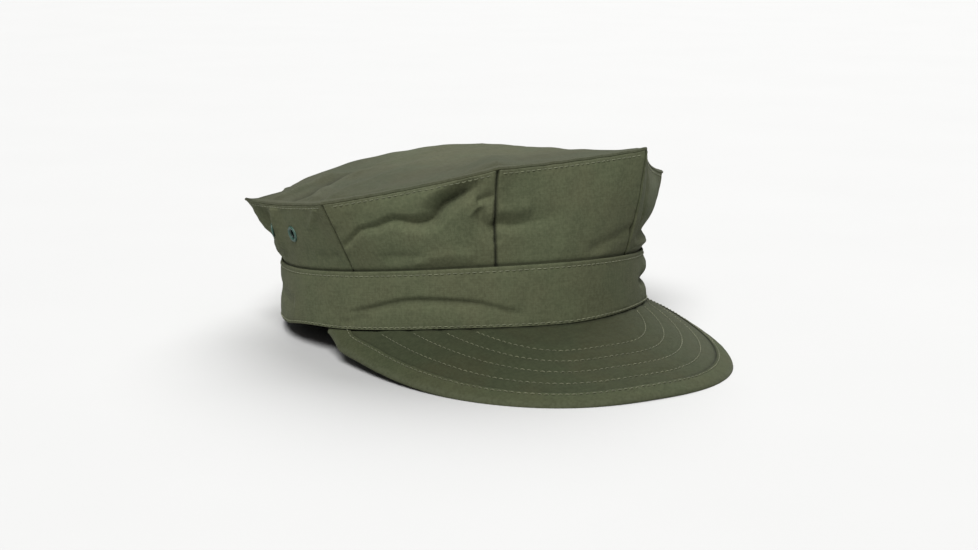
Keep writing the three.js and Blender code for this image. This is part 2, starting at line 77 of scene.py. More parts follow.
def turn_round(points, distance):
    angle = -distance / np.hypot(points[..., 0], points[..., 1])
    c, s = np.cos(angle), np.sin(angle)
    x, y = points[..., 0], points[..., 1]
    return points_of(x * c - y * s, x * s + y * c, points[..., 2])


print("helpers ready: a quarter of the way eases to", round(float(ease(0.25, 0, 1)), 3))

# %% [markdown]
# ## Head band and visor: the shapes that carry the cap
# The head opening is an oval a little more pointed than an ellipse, so we use a superellipse, whose
# power is one number. The visor is a board that slopes forward and is arched from side to side.
# Both are written as formulas with named sizes, because one formula serves the cloth, its stitches
# and its thickness alike.

# %% Sizes of the band and the visor
BAND_HALF_WIDTH, BAND_HALF_LENGTH, BAND_ROUNDNESS = 88.0, 100.0, 1.86
BAND_HEIGHT, BAND_WALL, BAND_TOP_LEAN = 28.2, 2.0, 1.2
# the band's upper edge rises by the wave at its front and back and falls by it at its sides; the
# skew turns that wave a little
BAND_WAVE, BAND_SKEW = 2.0, 0.9
BAND_END_LEVEL, BAND_END_FROM, BAND_END_TO = -1.1, 77.0, 100.0

VISOR_ROOT, VISOR_SLOPE, VISOR_CURL = 1.8, 0.344, 0.00095
VISOR_ARCH, VISOR_ARCH_GAIN, VISOR_SIDE_DROP = 0.0022, 0.0000015, 1.05e-7
VISOR_HALF_ANGLE, VISOR_END_SHARE = 70.0, 0.85
VISOR_END_SINK, VISOR_SINK_FROM, VISOR_SINK_TO = 0.9, -62.0, -40.0
VISOR_BOARD = 2.2

EDGE_HALF_WIDTH, EDGE_REACH, EDGE_CENTRE = 87.6, 127.1, -31.6
EDGE_SQUARENESS, EDGE_HALF_ANGLE = 2.42, 92.0
EDGE_TUCK, EDGE_TUCK_FROM, EDGE_REST_ANGLE = 3.2, 87.0, 75.0
BINDING_ROUND = 2.0
GAP, SETTLE = 0.3, 0.5


def band_plan(turn, inset):
    c, s = np.cos(turn), np.sin(turn)
    bulge = (np.abs(c) ** BAND_ROUNDNESS + np.abs(s) ** BAND_ROUNDNESS) ** (-1 / BAND_ROUNDNESS)
    x, y = -BAND_HALF_WIDTH * s * bulge, -BAND_HALF_LENGTH * c * bulge
    shrink = 1 - inset / np.hypot(x, y)
    return x * shrink, y * shrink


def visor_height(x, y):
    back = y + BAND_HALF_LENGTH
    slope = VISOR_ROOT + VISOR_SLOPE * back - VISOR_CURL * back**2
    return slope - (VISOR_ARCH + VISOR_ARCH_GAIN * back) * x**2 - VISOR_SIDE_DROP * x**4


def visor_top(x, y):
    return visor_height(x, y) - VISOR_END_SINK * ease(y, VISOR_SINK_FROM, VISOR_SINK_TO)


def band_low(turn, inset):
    away = np.abs(np.arctan2(np.sin(turn), np.cos(turn)))
    x, y = band_plan(turn, inset)
    behind = ease(away, math.radians(BAND_END_FROM), math.radians(BAND_END_TO))
    return mix(visor_height(x, y) + GAP, BAND_END_LEVEL, behind)


def band_high(turn):
    wave = BAND_WAVE * np.cos(2 * turn)
    return BAND_HEIGHT - np.cos(turn) + wave + BAND_SKEW * np.sin(2 * turn)


around = np.linspace(0, 2 * np.pi, 721)
oval = np.stack(band_plan(around, 0.0), -1)
head_size = np.linalg.norm(np.diff(oval, axis=0), axis=1).sum()
print("band: outside length", round(float(head_size)), "mm")
print("band: height at the front", round(float(band_high(0.0)), 1), "mm")

# %% The visor's edge
def edge_curve(turn):
    power = 2 / EDGE_SQUARENESS
    c, s = np.cos(turn), np.sin(turn)
    tuck = EDGE_TUCK * ease(np.abs(turn), math.radians(EDGE_TUCK_FROM), math.radians(EDGE_HALF_ANGLE))
    x = -np.sign(s) * (EDGE_HALF_WIDTH * np.abs(s) ** power - tuck)
    return x, EDGE_CENTRE - EDGE_REACH * np.sign(c) * np.abs(c) ** power


def edge_turn(share):
    return math.radians(EDGE_HALF_ANGLE) * (1.5 * share - 0.5 * share**3)


def edge_plan(turn, inset):
    step = 0.01
    x, y = edge_curve(turn)
    x1, y1 = edge_curve(turn + step)
    x0, y0 = edge_curve(turn - step)
    length = np.hypot(x1 - x0, y1 - y0)
    return x + (y1 - y0) / length * inset, y - (x1 - x0) / length * inset


tip_y = edge_curve(0.0)[1]
print("visor: reaches", round(float(-BAND_HALF_LENGTH - tip_y), 1), "mm in front of the band")

# %% [markdown]
# ## Resting on the table
# A cap put down on a table stands on the visor's edge and on the back of its band, so it tips a few
# degrees. We find that tilt from the two shapes above, as the solids do, and press the cloth flat
# where it would go into the table. Every point goes through `to_room`, which also changes to metres.

# %% Tilt and table
heel_z = float(band_low(np.pi, 0.0))


def resting_tilt():
    turns = np.radians(np.arange(-EDGE_REST_ANGLE, EDGE_REST_ANGLE + 1))
    x, y = edge_plan(turns, BINDING_ROUND)
    underside = visor_top(x, y) - VISOR_BOARD - GAP
    return float(np.max(np.arctan2(heel_z - underside, BAND_HALF_LENGTH - y)))


TILT = resting_tilt()
TABLE = heel_z * math.cos(TILT) - BAND_HALF_LENGTH * math.sin(TILT) + SETTLE
# how far the frame's origin, under the middle of the cap's box, lies from the band's middle
FORWARD = 29.458


def tipped(vectors):
    x, y, z = vectors[..., 0], vectors[..., 1], vectors[..., 2]
    c, s = math.cos(TILT), math.sin(TILT)
    return points_of(x, y * c + z * s, z * c - y * s)


def to_room(points):
    room = tipped(points) + np.array([0.0, FORWARD, -TABLE])
    room[..., 2] = np.maximum(room[..., 2], 0.0)
    return room / 1000


heel = to_room(np.array([0.0, BAND_HALF_LENGTH, heel_z]))

# %% [markdown]
# ## Crown: seams, panels and top
# The crown is eight trapezoids of cloth that lean out to eight points. Each point has its own
# direction, distance and height, read off the photograph and carried round to the hidden side.
# A panel spans its four edges like a sheet held in a frame, and swells a little between them.

# %% Corners and panels
CORNER_COLUMNS = ("foot", "turn", "reach", "height", "bow", "side", "fall")
CORNERS = [
    dict(zip(CORNER_COLUMNS, row))
    for row in (
        (-26.3, -24.6, 105.9, 76.7, 1.4, 0, 1.65),
        (22.6, 19.8, 104.2, 73.0, -0.5, 0.5, 1.5),
        (66.4, 66.5, 100.5, 59.3, 0, 0, 1.5),
        (112, 112.5, 102.7, 57.5, -1.5, 0, 0.8),
        (156, 150, 104, 56.5, -1.5, 0, 1.6),
        (204, 208, 104, 56.5, -1.5, 0, 1.5),
        (248, 247.5, 102.7, 57.5, -1.5, 0, 1.3),
        (293.6, 292.9, 102, 60.7, 2.5, 0, 1.65),
    )
]
PANEL_COLUMNS = ("name", "belly", "drop", "draw")
PANELS = [
    dict(zip(PANEL_COLUMNS, row))
    for row in (
        ("side_front", 1, 0.6, 0),
        ("side_front_right", 1.5, 0.8, 0),
        ("side_right", 1, 1.2, 0),
        ("side_back_right", 1, 2.5, 1),
        ("side_back", 1, 2, 1),
        ("side_back_left", 1, 2.5, 1),
        ("side_left", 1, 1.2, 0),
        ("side_front_left", 1.5, 1.4, 2.8),
    )
]
PANEL_SPAN, PANEL_RISE = 78.0, 42.0
CROWN_WALL, CROWN_TUCK = 1.5, 0.8
TIP_LIFT, TIP_SHARE = 0.25, 0.04


def corner(index):
    lap = 360 * (index // 8)
    row = CORNERS[index % 8]
    return {**row, "foot": row["foot"] + lap, "turn": row["turn"] + lap}


def corner_tip(row):
    turn = math.radians(row["turn"])
    return np.array([-row["reach"] * math.sin(turn), -row["reach"] * math.cos(turn), row["height"]])


def crown_foot(foot):
    turn = np.radians(foot)
    x, y = band_plan(turn, BAND_TOP_LEAN + CROWN_TUCK)
    return points_of(x, y, band_high(turn) + GAP)


def seam_point(row, up):
    straight = mix(crown_foot(row["foot"]), corner_tip(row), up[..., None])
    swell = 4 * up * (1 - up)
    return turn_round(push_out(straight, row["bow"] * swell), row["side"] * swell)


def upper_edge(index, part):
    swell = 4 * part * (1 - part)
    panel = PANELS[index % 8]
    chord = mix(corner_tip(corner(index)), corner_tip(corner(index + 1)), part[..., None])
    chord[..., 2] += TIP_LIFT * (bump(part, TIP_SHARE) + bump(1 - part, TIP_SHARE)) - panel["drop"] * swell
    return push_out(chord, -panel["draw"] * swell)


print("crown: highest point of the seams", max(row["height"] for row in CORNERS), "mm over the band's foot")

# %% [markdown]
# ## Folds
# The cloth of this cap has been worn and folded, and each fold is a valley along a curve. A valley
# has two flanks, each with its own width, so that the cloth can drop steeply on one side and swell
# out slowly on the other. A soft fold is round at its bottom and a crisp one comes to a line. We
# list each fold by the points that it passes, its depths and the widths of its flanks; a depth
# below 0 makes a ridge. Sculpting by hand would do as well, but a table can be read, changed and
# run again.

# %% Valleys along curves
CRISP_REACH, CRISP_POWER = 2.2, 1.6


def smooth_line(knots, steps=10):
    """A Catmull-Rom curve through the knots."""
    knots = np.asarray(knots, float)
    padded = np.vstack([2 * knots[0] - knots[1], knots, 2 * knots[-1] - knots[-2]])
    line = []
    for p0, p1, p2, p3 in zip(padded, padded[1:], padded[2:], padded[3:]):
        t = np.linspace(0, 1, steps, endpoint=False)[:, None]
        square, cube = 2 * p0 - 5 * p1 + 4 * p2 - p3, 3 * p1 - p0 - 3 * p2 + p3
        line.append(0.5 * (2 * p1 + (p2 - p0) * t + square * t**2 + cube * t**3))
    return np.vstack([*line, knots[-1:]])


def valley(across, up, knots, depths, above, below, scale, crisp=0.0, fade=0.12):
    """How deep one fold is at each point. A crisp one comes to a sharp line, a soft one is round."""
    line = smooth_line(knots) * scale
    here = np.stack([across * scale[0], up * scale[1]], -1)[..., None, :]
    start, step = line[:-1], np.diff(line, axis=0)
    offset = here - start
    part = np.clip((offset * step).sum(-1) / (step**2).sum(-1), 0, 1)
    away = offset - part[..., None] * step
    distance = np.linalg.norm(away, axis=-1)
    nearest = distance.argmin(-1)[..., None]

    def pick(values):
        return np.take_along_axis(values, nearest, -1)[..., 0]

    def at(values):
        return np.interp(along, np.linspace(0, 1, len(values)), values)

    along = (nearest[..., 0] + pick(part)) / len(step)
    side = pick(step[:, 0] * away[..., 1] - step[:, 1] * away[..., 0])
    apart = pick(distance) / np.where(side > 0, at(above), at(below))
    sharp = np.clip(1 - apart / CRISP_REACH, 0, 1) ** CRISP_POWER
    ends = ease(along, 0, fade) * (1 - ease(along, 1 - fade, 1))
    return at(depths) * ends * mix(bump(apart, 1), sharp, crisp)


tried = valley(np.array([0.5]), np.array([0.0]), [(0, 0), (1, 0)], (2.0,), (1,), (1,), np.ones(2))
print("a fold 2 mm deep is", float(tried[0]), "mm deep at the middle of its line")

# %% Folds of the crown
# each row of a fold: the points that it passes, its depths along them, the widths of its flanks,
# and how crisp it is, from 0 to 1
# across counts panels from the first corner, and up runs from the band, 0, to the top, 1
FOLD_COLUMNS = ("knots", "depths", "above", "below", "crisp")
FOLDS = {
    "main fold": (
        [(1.05, 0.93), (1.125, 0.887), (1.19, 0.833), (1.245, 0.781), (1.295, 0.74), (1.335, 0.667),
         (1.375, 0.581), (1.43, 0.553), (1.5, 0.569), (1.56, 0.612), (1.62, 0.64), (1.71, 0.59),
         (1.78, 0.578), (1.83, 0.563), (1.875, 0.51), (1.93, 0.43), (1.97, 0.36), (2.0, 0.30)],
        (2.4, 4.8, 6.4, 7.0, 7.0, 6.6, 5.2, 4.0, 3.4, 2.8, 2.4, 2.1, 1.9, 1.8, 1.8, 1.6, 1.2, 0.6),
        (4, 4.6, 4.2, 2.2, 1.6, 1.2, 0.9), (2.6, 3.2, 2.8, 1.8, 1.4), 0.9,
    ),
    "cloth over the main fold": (
        [(1.15, 0.97), (1.35, 0.90), (1.55, 0.82), (1.8, 0.74)], (-0.4, -0.7, -0.4), (4,), (5,), 0,
    ),
    "bulge under the main fold": (
        [(1.10, 0.77), (1.16, 0.72), (1.21, 0.655), (1.28, 0.57), (1.33, 0.46), (1.42, 0.42), (1.5, 0.43),
         (1.62, 0.5), (1.72, 0.45), (1.82, 0.42), (1.9, 0.31)],
        (-0.8, -1.6, -2.1, -2.0, -1.5, -1.2, -1.0, -0.9, -0.7, -0.5, -0.3), (4,), (13,), 0,
    ),
    "pinch by the seam": (
        [(1.12, 0.62), (1.105, 0.577), (1.1, 0.51), (1.07, 0.42), (1.035, 0.34), (1.01, 0.27), (0.99, 0.2)],
        (1.4, 2.4, 2.8, 2.4, 1.6, 1.0), (2.6,), (3.2,), 0.7,
    ),
    "ridge by the seam": ([(1.08, 0.68), (1.05, 0.56), (1.02, 0.44)], (-1.0, -1.2, -0.8), (2,), (2,), 0),
    "upper pinch": (
        [(1.12, 0.70), (1.09, 0.71), (1.05, 0.72), (1.0, 0.73)], (1.4, 2.0, 1.4), (1.8,), (2.4,), 0.6,
    ),
    "low crease, near": (
        [(1.12, 0.10), (1.25, 0.15), (1.40, 0.13), (1.56, 0.06)], (-0.7, -0.8, -0.6), (2.4,), (3,), 0.2,
    ),
    "low crease, far": (
        [(1.45, 0.165), (1.55, 0.17), (1.66, 0.19), (1.76, 0.18)], (0.5, 0.5), (1.8,), (3,), 0.3,
    ),
    "front fold": (
        [(1.04, 0.43), (0.98, 0.425), (0.9, 0.405), (0.8, 0.42), (0.7, 0.44), (0.58, 0.47)],
        (2.6, 2.8, 2.4, 1.4, 0.8, 0.4), (2.2, 2.6, 3), (3, 4, 6), 0.7,
    ),
    "light over the front fold": ([(1.0, 0.56), (0.9, 0.55), (0.78, 0.56)], (-0.9, -0.7), (3,), (3,), 0),
    "front diagonal": (
        [(-0.05, 0.26), (0.05, 0.235), (0.15, 0.19), (0.29, 0.135), (0.43, 0.085)],
        (1.3, 1.4, 1.2, 0.7), (2.2,), (3.4,), 0.6,
    ),
    "ridge at the ear": (
        [(2.09, 0.99), (2.14, 0.85), (2.2, 0.72), (2.26, 0.58)], (-0.9, -1.0, -0.6), (2.6,), (2.6,), 0.3,
    ),
    "short fold by the ear": (
        [(2.05, 0.22), (2.12, 0.2), (2.2, 0.2), (2.28, 0.22)], (0.5, 0.5), (2.4,), (4,), 0.3,
    ),
    "spike, upright ridge": (
        [(2.63, 1.02), (2.64, 0.85), (2.66, 0.7), (2.68, 0.5), (2.70, 0.34), (2.72, 0.2)],
        (-1.6, -2.6, -2.8, -2.4, -1.2), (2.8,), (5.5,), 0.4,
    ),
    "spike, hollow side": (
        [(2.82, 1.0), (2.83, 0.8), (2.84, 0.6), (2.87, 0.42)], (2.0, 3.0, 2.6, 1.2), (6,), (5,), 0,
    ),
    "bow of the spike's back seam": (
        [(2.98, 0.94), (2.98, 0.76), (2.98, 0.6), (2.97, 0.48), (2.96, 0.38),
         (2.96, 0.3), (2.96, 0.18), (2.97, 0.06)],
        (-0.2, -1.2, -1.9, -1.2, 0.7, 0.7, -0.6, -1.0, -1.0), (6,), (6,), 0,
    ),
    "front left, upright": (
        [(7.72, 0.35), (7.77, 0.5), (7.73, 0.75), (7.78, 0.97)], (1.6, 1.2), (4,), (4,), 0.3,
    ),
    "front left, low": (
        [(6.85, 0.26), (7.05, 0.24), (7.3, 0.22), (7.6, 0.22), (7.9, 0.18)],
        (2.4, 3.4, 3.4, 2.6), (6,), (3,), 0.3,
    ),
    "front left, roll over the band": (
        [(7.02, 0.1), (7.3, 0.09), (7.6, 0.09), (7.9, 0.07)], (-1.0, -1.2, -0.8), (1.8,), (1.8,), 0,
    ),
    "back right": ([(3.12, 0.85), (3.3, 0.77), (3.55, 0.54), (3.8, 0.45)], (2.8, 1.6), (3.4,), (8,), 0.6),
    "back": ([(4.15, 0.35), (4.4, 0.45), (4.6, 0.56), (4.85, 0.55)], (1.8, 2.4), (3.4,), (8,), 0.6),
    "back left": ([(5.15, 0.5), (5.4, 0.52), (5.6, 0.7), (5.9, 0.8)], (1.6, 2.6), (3.4,), (8,), 0.6),
    "left": ([(6.08, 0.3), (6.3, 0.22), (6.6, 0.25), (6.9, 0.35)], (1.4, 1.8), (3.2,), (6,), 0.5),
}
PANEL_SCALE = np.array([PANEL_SPAN, PANEL_RISE])


def all_folds(index, across, up):
    depth = np.zeros(np.broadcast(across, up).shape)
    for row in FOLDS.values():
        fold = dict(zip(FOLD_COLUMNS, row))
        spread = [knot[0] for knot in fold["knots"]]
        if max(spread) > index - 0.3 and min(spread) < index + 1.3:
            depth += valley(across, up, scale=PANEL_SCALE, **fold)
    return depth


print(len(FOLDS), "folds and ridges on the side panels")

# %% Folds of the top and creases of the band
# on the top: x and y in mm
TOP_FOLDS = {
    "hollow behind the spike": (
        [(-101, 41), (-94, 38), (-87, 35), (-79, 32), (-70, 30)],
        (3.4, 3.8, 3.4, 2.2, 0.8), (4.5,), (5,), 0.3,
    ),
    "ridge from the edge": (
        [(-92, 13), (-80, 15.5), (-70, 18), (-58, 24), (-42, 36)], (-1.2, -2.2, -2.0, -1.0), (3,), (3,), 0.3,
    ),
    "hollow between the ridges": (
        [(-92, 0), (-82, -2), (-74, 1), (-62, 10), (-48, 16), (-30, 26)],
        (1.8, 2.6, 2.4, 1.6, 0.8), (5,), (5,), 0.3,
    ),
    "ridge from the corner": (
        [(-92, -30), (-84, -20), (-77, -12), (-68, -3), (-56, 6), (-40, 9)],
        (-1.4, -2.2, -2.0, -1.0), (3.6,), (3.6,), 0.3,
    ),
    "rise behind the crest": (
        [(-50, 88), (-38, 66), (-22, 44), (-8, 23), (6, 4)], (-0.9, -1.2, -1.1, -0.4), (16,), (16,), 0,
    ),
    "dent at the left": ([(96, 10), (80, 4), (60, 8), (40, 4)], (1.2, 1.8, 1.0), (7,), (7,), 0),
    "dent at the back": ([(8, 88), (0, 70), (-6, 52), (4, 34)], (1.2, 1.8, 1.0), (8,), (8,), 0),
}


# along the band: degrees round from the front, and part of the band's height
CREASES = {
    "long crease": (
        [(70, 0.27), (64.5, 0.33), (58, 0.41), (51, 0.485), (45, 0.50), (34, 0.455),
         (27, 0.395), (20, 0.27), (12.5, 0.18)],
        (0.7, 1.2, 1.4, 1.4, 1.3, 1.0, 0.6), (2.8,), (1.2,), 0.6,
    ),
    "small crease": ([(71, 0.12), (66, 0.17), (60.5, 0.24)], (0.7, 0.7), (2.6,), (1.4,), 0.5),
    "far roll": ([(-88, 0.70), (-70, 0.71), (-52, 0.70), (-40, 0.66)], (-1.0, -1.2, -0.7), (3,), (3,), 0),
    "far notch": ([(-92, 0.44), (-75, 0.43), (-55, 0.44), (-34, 0.47)], (2.2, 3.2, 2.2), (2.6,), (3,), 0.3),
    "far notch, low": ([(-80, 0.14), (-66, 0.13), (-50, 0.14)], (1.6, 1.8), (1.6,), (1.6,), 0),
    "left streak": ([(92, 0.40), (98, 0.44), (106, 0.50), (122, 0.58)], (0.9, 0.9), (3,), (4,), 0),
    "back crease": ([(150, 0.6), (170, 0.48), (190, 0.47), (215, 0.6)], (1.0, 1.0), (2.6,), (3,), 0.4),
}
BAND_SCALE = np.array([math.radians(1) * BAND_HALF_WIDTH, BAND_HEIGHT])


def crease_depth(degrees, rise):
    total = np.zeros(np.broadcast(degrees, rise).shape)
    for row in CREASES.values():
        for lap in (0, -360):
            total += valley(degrees + lap, rise, scale=BAND_SCALE, **dict(zip(FOLD_COLUMNS, row)))
    return total


print(len(TOP_FOLDS), "folds of the top and", len(CREASES), "creases of the band")

# %% [markdown]
# ## Ripples
# Between its folds a washed cotton cloth is never quite flat. A sum of slow sine waves in all
# directions gives that, the same on every run, because its numbers come from a seeded generator.

# %% Gentle unevenness
def ripple_field(seed, longest, shortest, count=14):
    rng = np.random.default_rng(seed)
    lengths = np.exp(rng.uniform(np.log(shortest), np.log(longest), count))
    directions = rng.normal(size=(count, 3))
    directions /= np.linalg.norm(directions, axis=1)[:, None]
    phases = rng.uniform(0, 2 * np.pi, count)
    weights = (lengths / longest) ** 0.8

    def field(points):
        waves = points @ (directions / lengths[:, None] * 2 * np.pi).T + phases
        return (np.sin(waves) * weights).sum(-1) / weights.sum() * 2

    return field


cloth_ripple = ripple_field(3, 46, 11)
seam_pucker = ripple_field(8, 11, 5)
board_ripple = ripple_field(21, 60, 24)
print("ripple at the middle of the front:", round(float(cloth_ripple(np.array([0.0, -100.0, 50.0]))), 3))

# %% [markdown]
# ## Turning grids into pieces
# Each piece is a grid of points on the cloth's outer face and one on its inner face, joined by a
# rim. A UV map in tenths of a metre goes with it, so that a thread of the weave has its real width
# everywhere. Blender's Solidify modifier could give the thickness, but then the rims would be square:
# here the two faces come together in a half circle, like a folded edge. Two numbers go along with
# each point of the outer face, for how pale and how dark the cloth is there: rims are paler with
# wear, some ridges and sides are paler with painted light, and seams, hollows and the bottoms of
# folds are darker with painted shade.

# %% Stations and sheets
# millimetres of cloth in one unit of the UV map
CLOTH_UNIT = 100
NEAR_EDGE = np.array([0.0, 0.08, 0.22, 0.45, 0.75, 1.1, 1.6, 2.1, 2.6, 3.2, 4.0, 5.0, 6.0, 7.0, 8.0])


def stations(length, count):
    """Numbers from 0 to 1, close together near both ends, for a side of this length in mm."""
    ends = NEAR_EDGE / length
    middle = np.linspace(ends[-1], 1 - ends[-1], count)[1:-1]
    return np.concatenate([ends, middle, 1 - ends[::-1]])


def round_edge(distance, radius):
    """How far a face draws in at this distance from a rounded edge."""
    inside = np.clip(radius - distance, 0, radius)
    return radius - np.sqrt(radius**2 - inside**2)


def sheet_piece(name, outer, inner, cloth_map, loop=False):
    """A closed mesh from two grids of points, rows by columns. A loop leaves out its last column."""
    rows, columns = outer.shape[0] - 1, outer.shape[1] - (0 if loop else 1)
    stride = outer.shape[1]
    vertex = lambda side, row, column: (side * (rows + 1) + row) * stride + column % stride
    r, c = np.meshgrid(np.arange(rows), np.arange(columns), indexing="ij")
    r, c = r.ravel(), c.ravel()
    faces, places = [], []

    def add(corners):
        faces.append(np.stack([vertex(side, row, column) for side, row, column in corners], -1))
        spots = [np.stack(np.broadcast_arrays(row, column), -1) for side, row, column in corners]
        places.append(np.stack(spots, 1))

    add([(0, r, c), (0, r, c + 1), (0, r + 1, c + 1), (0, r + 1, c)])
    add([(1, r, c), (1, r + 1, c), (1, r + 1, c + 1), (1, r, c + 1)])
    ends = np.arange(columns)
    low, high = np.zeros_like(ends), np.full_like(ends, rows)
    add([(0, low, ends), (1, low, ends), (1, low, ends + 1), (0, low, ends + 1)])
    add([(0, high, ends), (0, high, ends + 1), (1, high, ends + 1), (1, high, ends)])
    if not loop:
        up = np.arange(rows)
        first, last = np.zeros_like(up), np.full_like(up, columns)
        add([(0, up, first), (0, up + 1, first), (1, up + 1, first), (1, up, first)])
        add([(0, up, last), (1, up, last), (1, up + 1, last), (0, up + 1, last)])
    faces, places = np.vstack(faces), np.vstack(places)
    points = np.vstack([outer.reshape(-1, 3), inner.reshape(-1, 3)])
    uv = cloth_map[places[..., 0], places[..., 1]]
    return mesh_piece(name, to_room(points), faces, uv)


def mesh_piece(name, points, faces, uv):
    mesh = bpy.data.meshes.new(name)
    mesh.from_pydata(points.tolist(), [], faces.tolist())
    layer = mesh.uv_layers.new(name="cloth")
    layer.data.foreach_set("uv", (uv.reshape(-1, 2) / CLOTH_UNIT).ravel())
    tidy = bmesh.new()
    tidy.from_mesh(mesh)
    bmesh.ops.recalc_face_normals(tidy, faces=tidy.faces)
    tidy.to_mesh(mesh)
    tidy.free()
    mesh.shade_smooth()
    piece = bpy.data.objects.new(name, mesh)
    bpy.context.collection.objects.link(piece)
    return piece


def wear_and_painted_light_layers(piece, wear_and_painted_light, painted_shade):
    """How far the outer face is made paler, by wear and painted light, and darker, by painted shade, each
    from 0 to 1.
    """
    for name, values in (("wear_and_painted_light", wear_and_painted_light), ("painted_shade", painted_shade)):
        outer = np.clip(values, 0, 1).ravel()
        layer = piece.data.attributes.new(name, "FLOAT", "POINT")
        plain = np.zeros(len(layer.data) - len(outer))
        layer.data.foreach_set("value", np.concatenate([outer, plain]))


PIECES = {}


def finish_piece(piece, material, slot, *nodes):
    piece.data.materials.append(material)
    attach(piece, "root")
    if nodes:
        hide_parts(*nodes)
    PIECES[piece.name] = piece
    print(piece.name, "has", len(piece.data.polygons), "faces")


print("grid helper:", len(NEAR_EDGE), "places close together at each end of a side")

# %% [markdown]
# ## Cotton
# The cloth is a plain weave in olive drab. Close up it shows threads about 0.4 mm apart, some of
# them thicker than the rest; from further off it shows long faint streaks, a slow change between a
# greener and a browner olive, small dark mottles, paler cloth from wear, and paler and darker
# cloth where light and shade are painted on. All of it comes from nodes: two wave textures for the
# threads, stretched noise for the thick ones, wide and fine noise for the dye, and two attributes of
# the mesh for the wear and the painted light and shade. A scanned cloth picture would repeat and
# would have to be shipped along; nodes do neither.

# %% A helper for nodes
class Nodes:
    """Short hand for adding nodes to a material and joining them up."""

    def __init__(self, name):
        self.material = bpy.data.materials.new(name)
        self.material.use_nodes = True
        self.tree = self.material.node_tree
        self.shader = self.tree.nodes["Principled BSDF"]

    def add(self, kind, inputs=None, **settings):
        node = self.tree.nodes.new(kind)
        for key, value in settings.items():
            setattr(node, key, value)
        for key, value in (inputs or {}).items():
            if isinstance(value, bpy.types.NodeSocket):
                self.tree.links.new(value, node.inputs[key])
            else:
                node.inputs[key].default_value = value
        return node

    def math(self, operation, first, second=0.0):
        return self.add("ShaderNodeMath", {0: first, 1: second}, operation=operation).outputs[0]

    def ramp(self, value, low, high, to_low, to_high):
        inputs = {"Value": value, "From Min": low, "From Max": high, "To Min": to_low, "To Max": to_high}
        return self.add("ShaderNodeMapRange", inputs, interpolation_type="SMOOTHSTEP").outputs[0]

    def blend(self, amount, first, second):
        node = self.add("ShaderNodeMix", data_type="RGBA")
        for socket, value in zip((node.inputs[0], node.inputs[6], node.inputs[7]), (amount, first, second)):
            if isinstance(value, bpy.types.NodeSocket):
                self.tree.links.new(value, socket)
            else:
                socket.default_value = value
        return node.outputs[2]

    def noise(self, vector, stretch, detail=3.0, roughness=0.55):
        mapping = self.add("ShaderNodeMapping", {"Vector": vector, "Scale": stretch})
        inputs = {"Vector": mapping.outputs[0], "Scale": 1.0, "Detail": detail, "Roughness": roughness}
        return self.add("ShaderNodeTexNoise", inputs).outputs["Fac"]


def colour(rgb, factor=1.0):
    return (rgb[0] * factor, rgb[1] * factor, rgb[2] * factor, 1.0)


print("half of a grey:", colour((0.2, 0.2, 0.2), 0.5))

# %% Cloth material
# this scale sets a wave texture's bands 0.42 mm apart on our UV map
WEAVE_SCALE = 75.0
# how high the threads and the thick threads stand, in metres
THREAD_RELIEF, THICK_THREAD_RELIEF = 0.00012, 0.00025


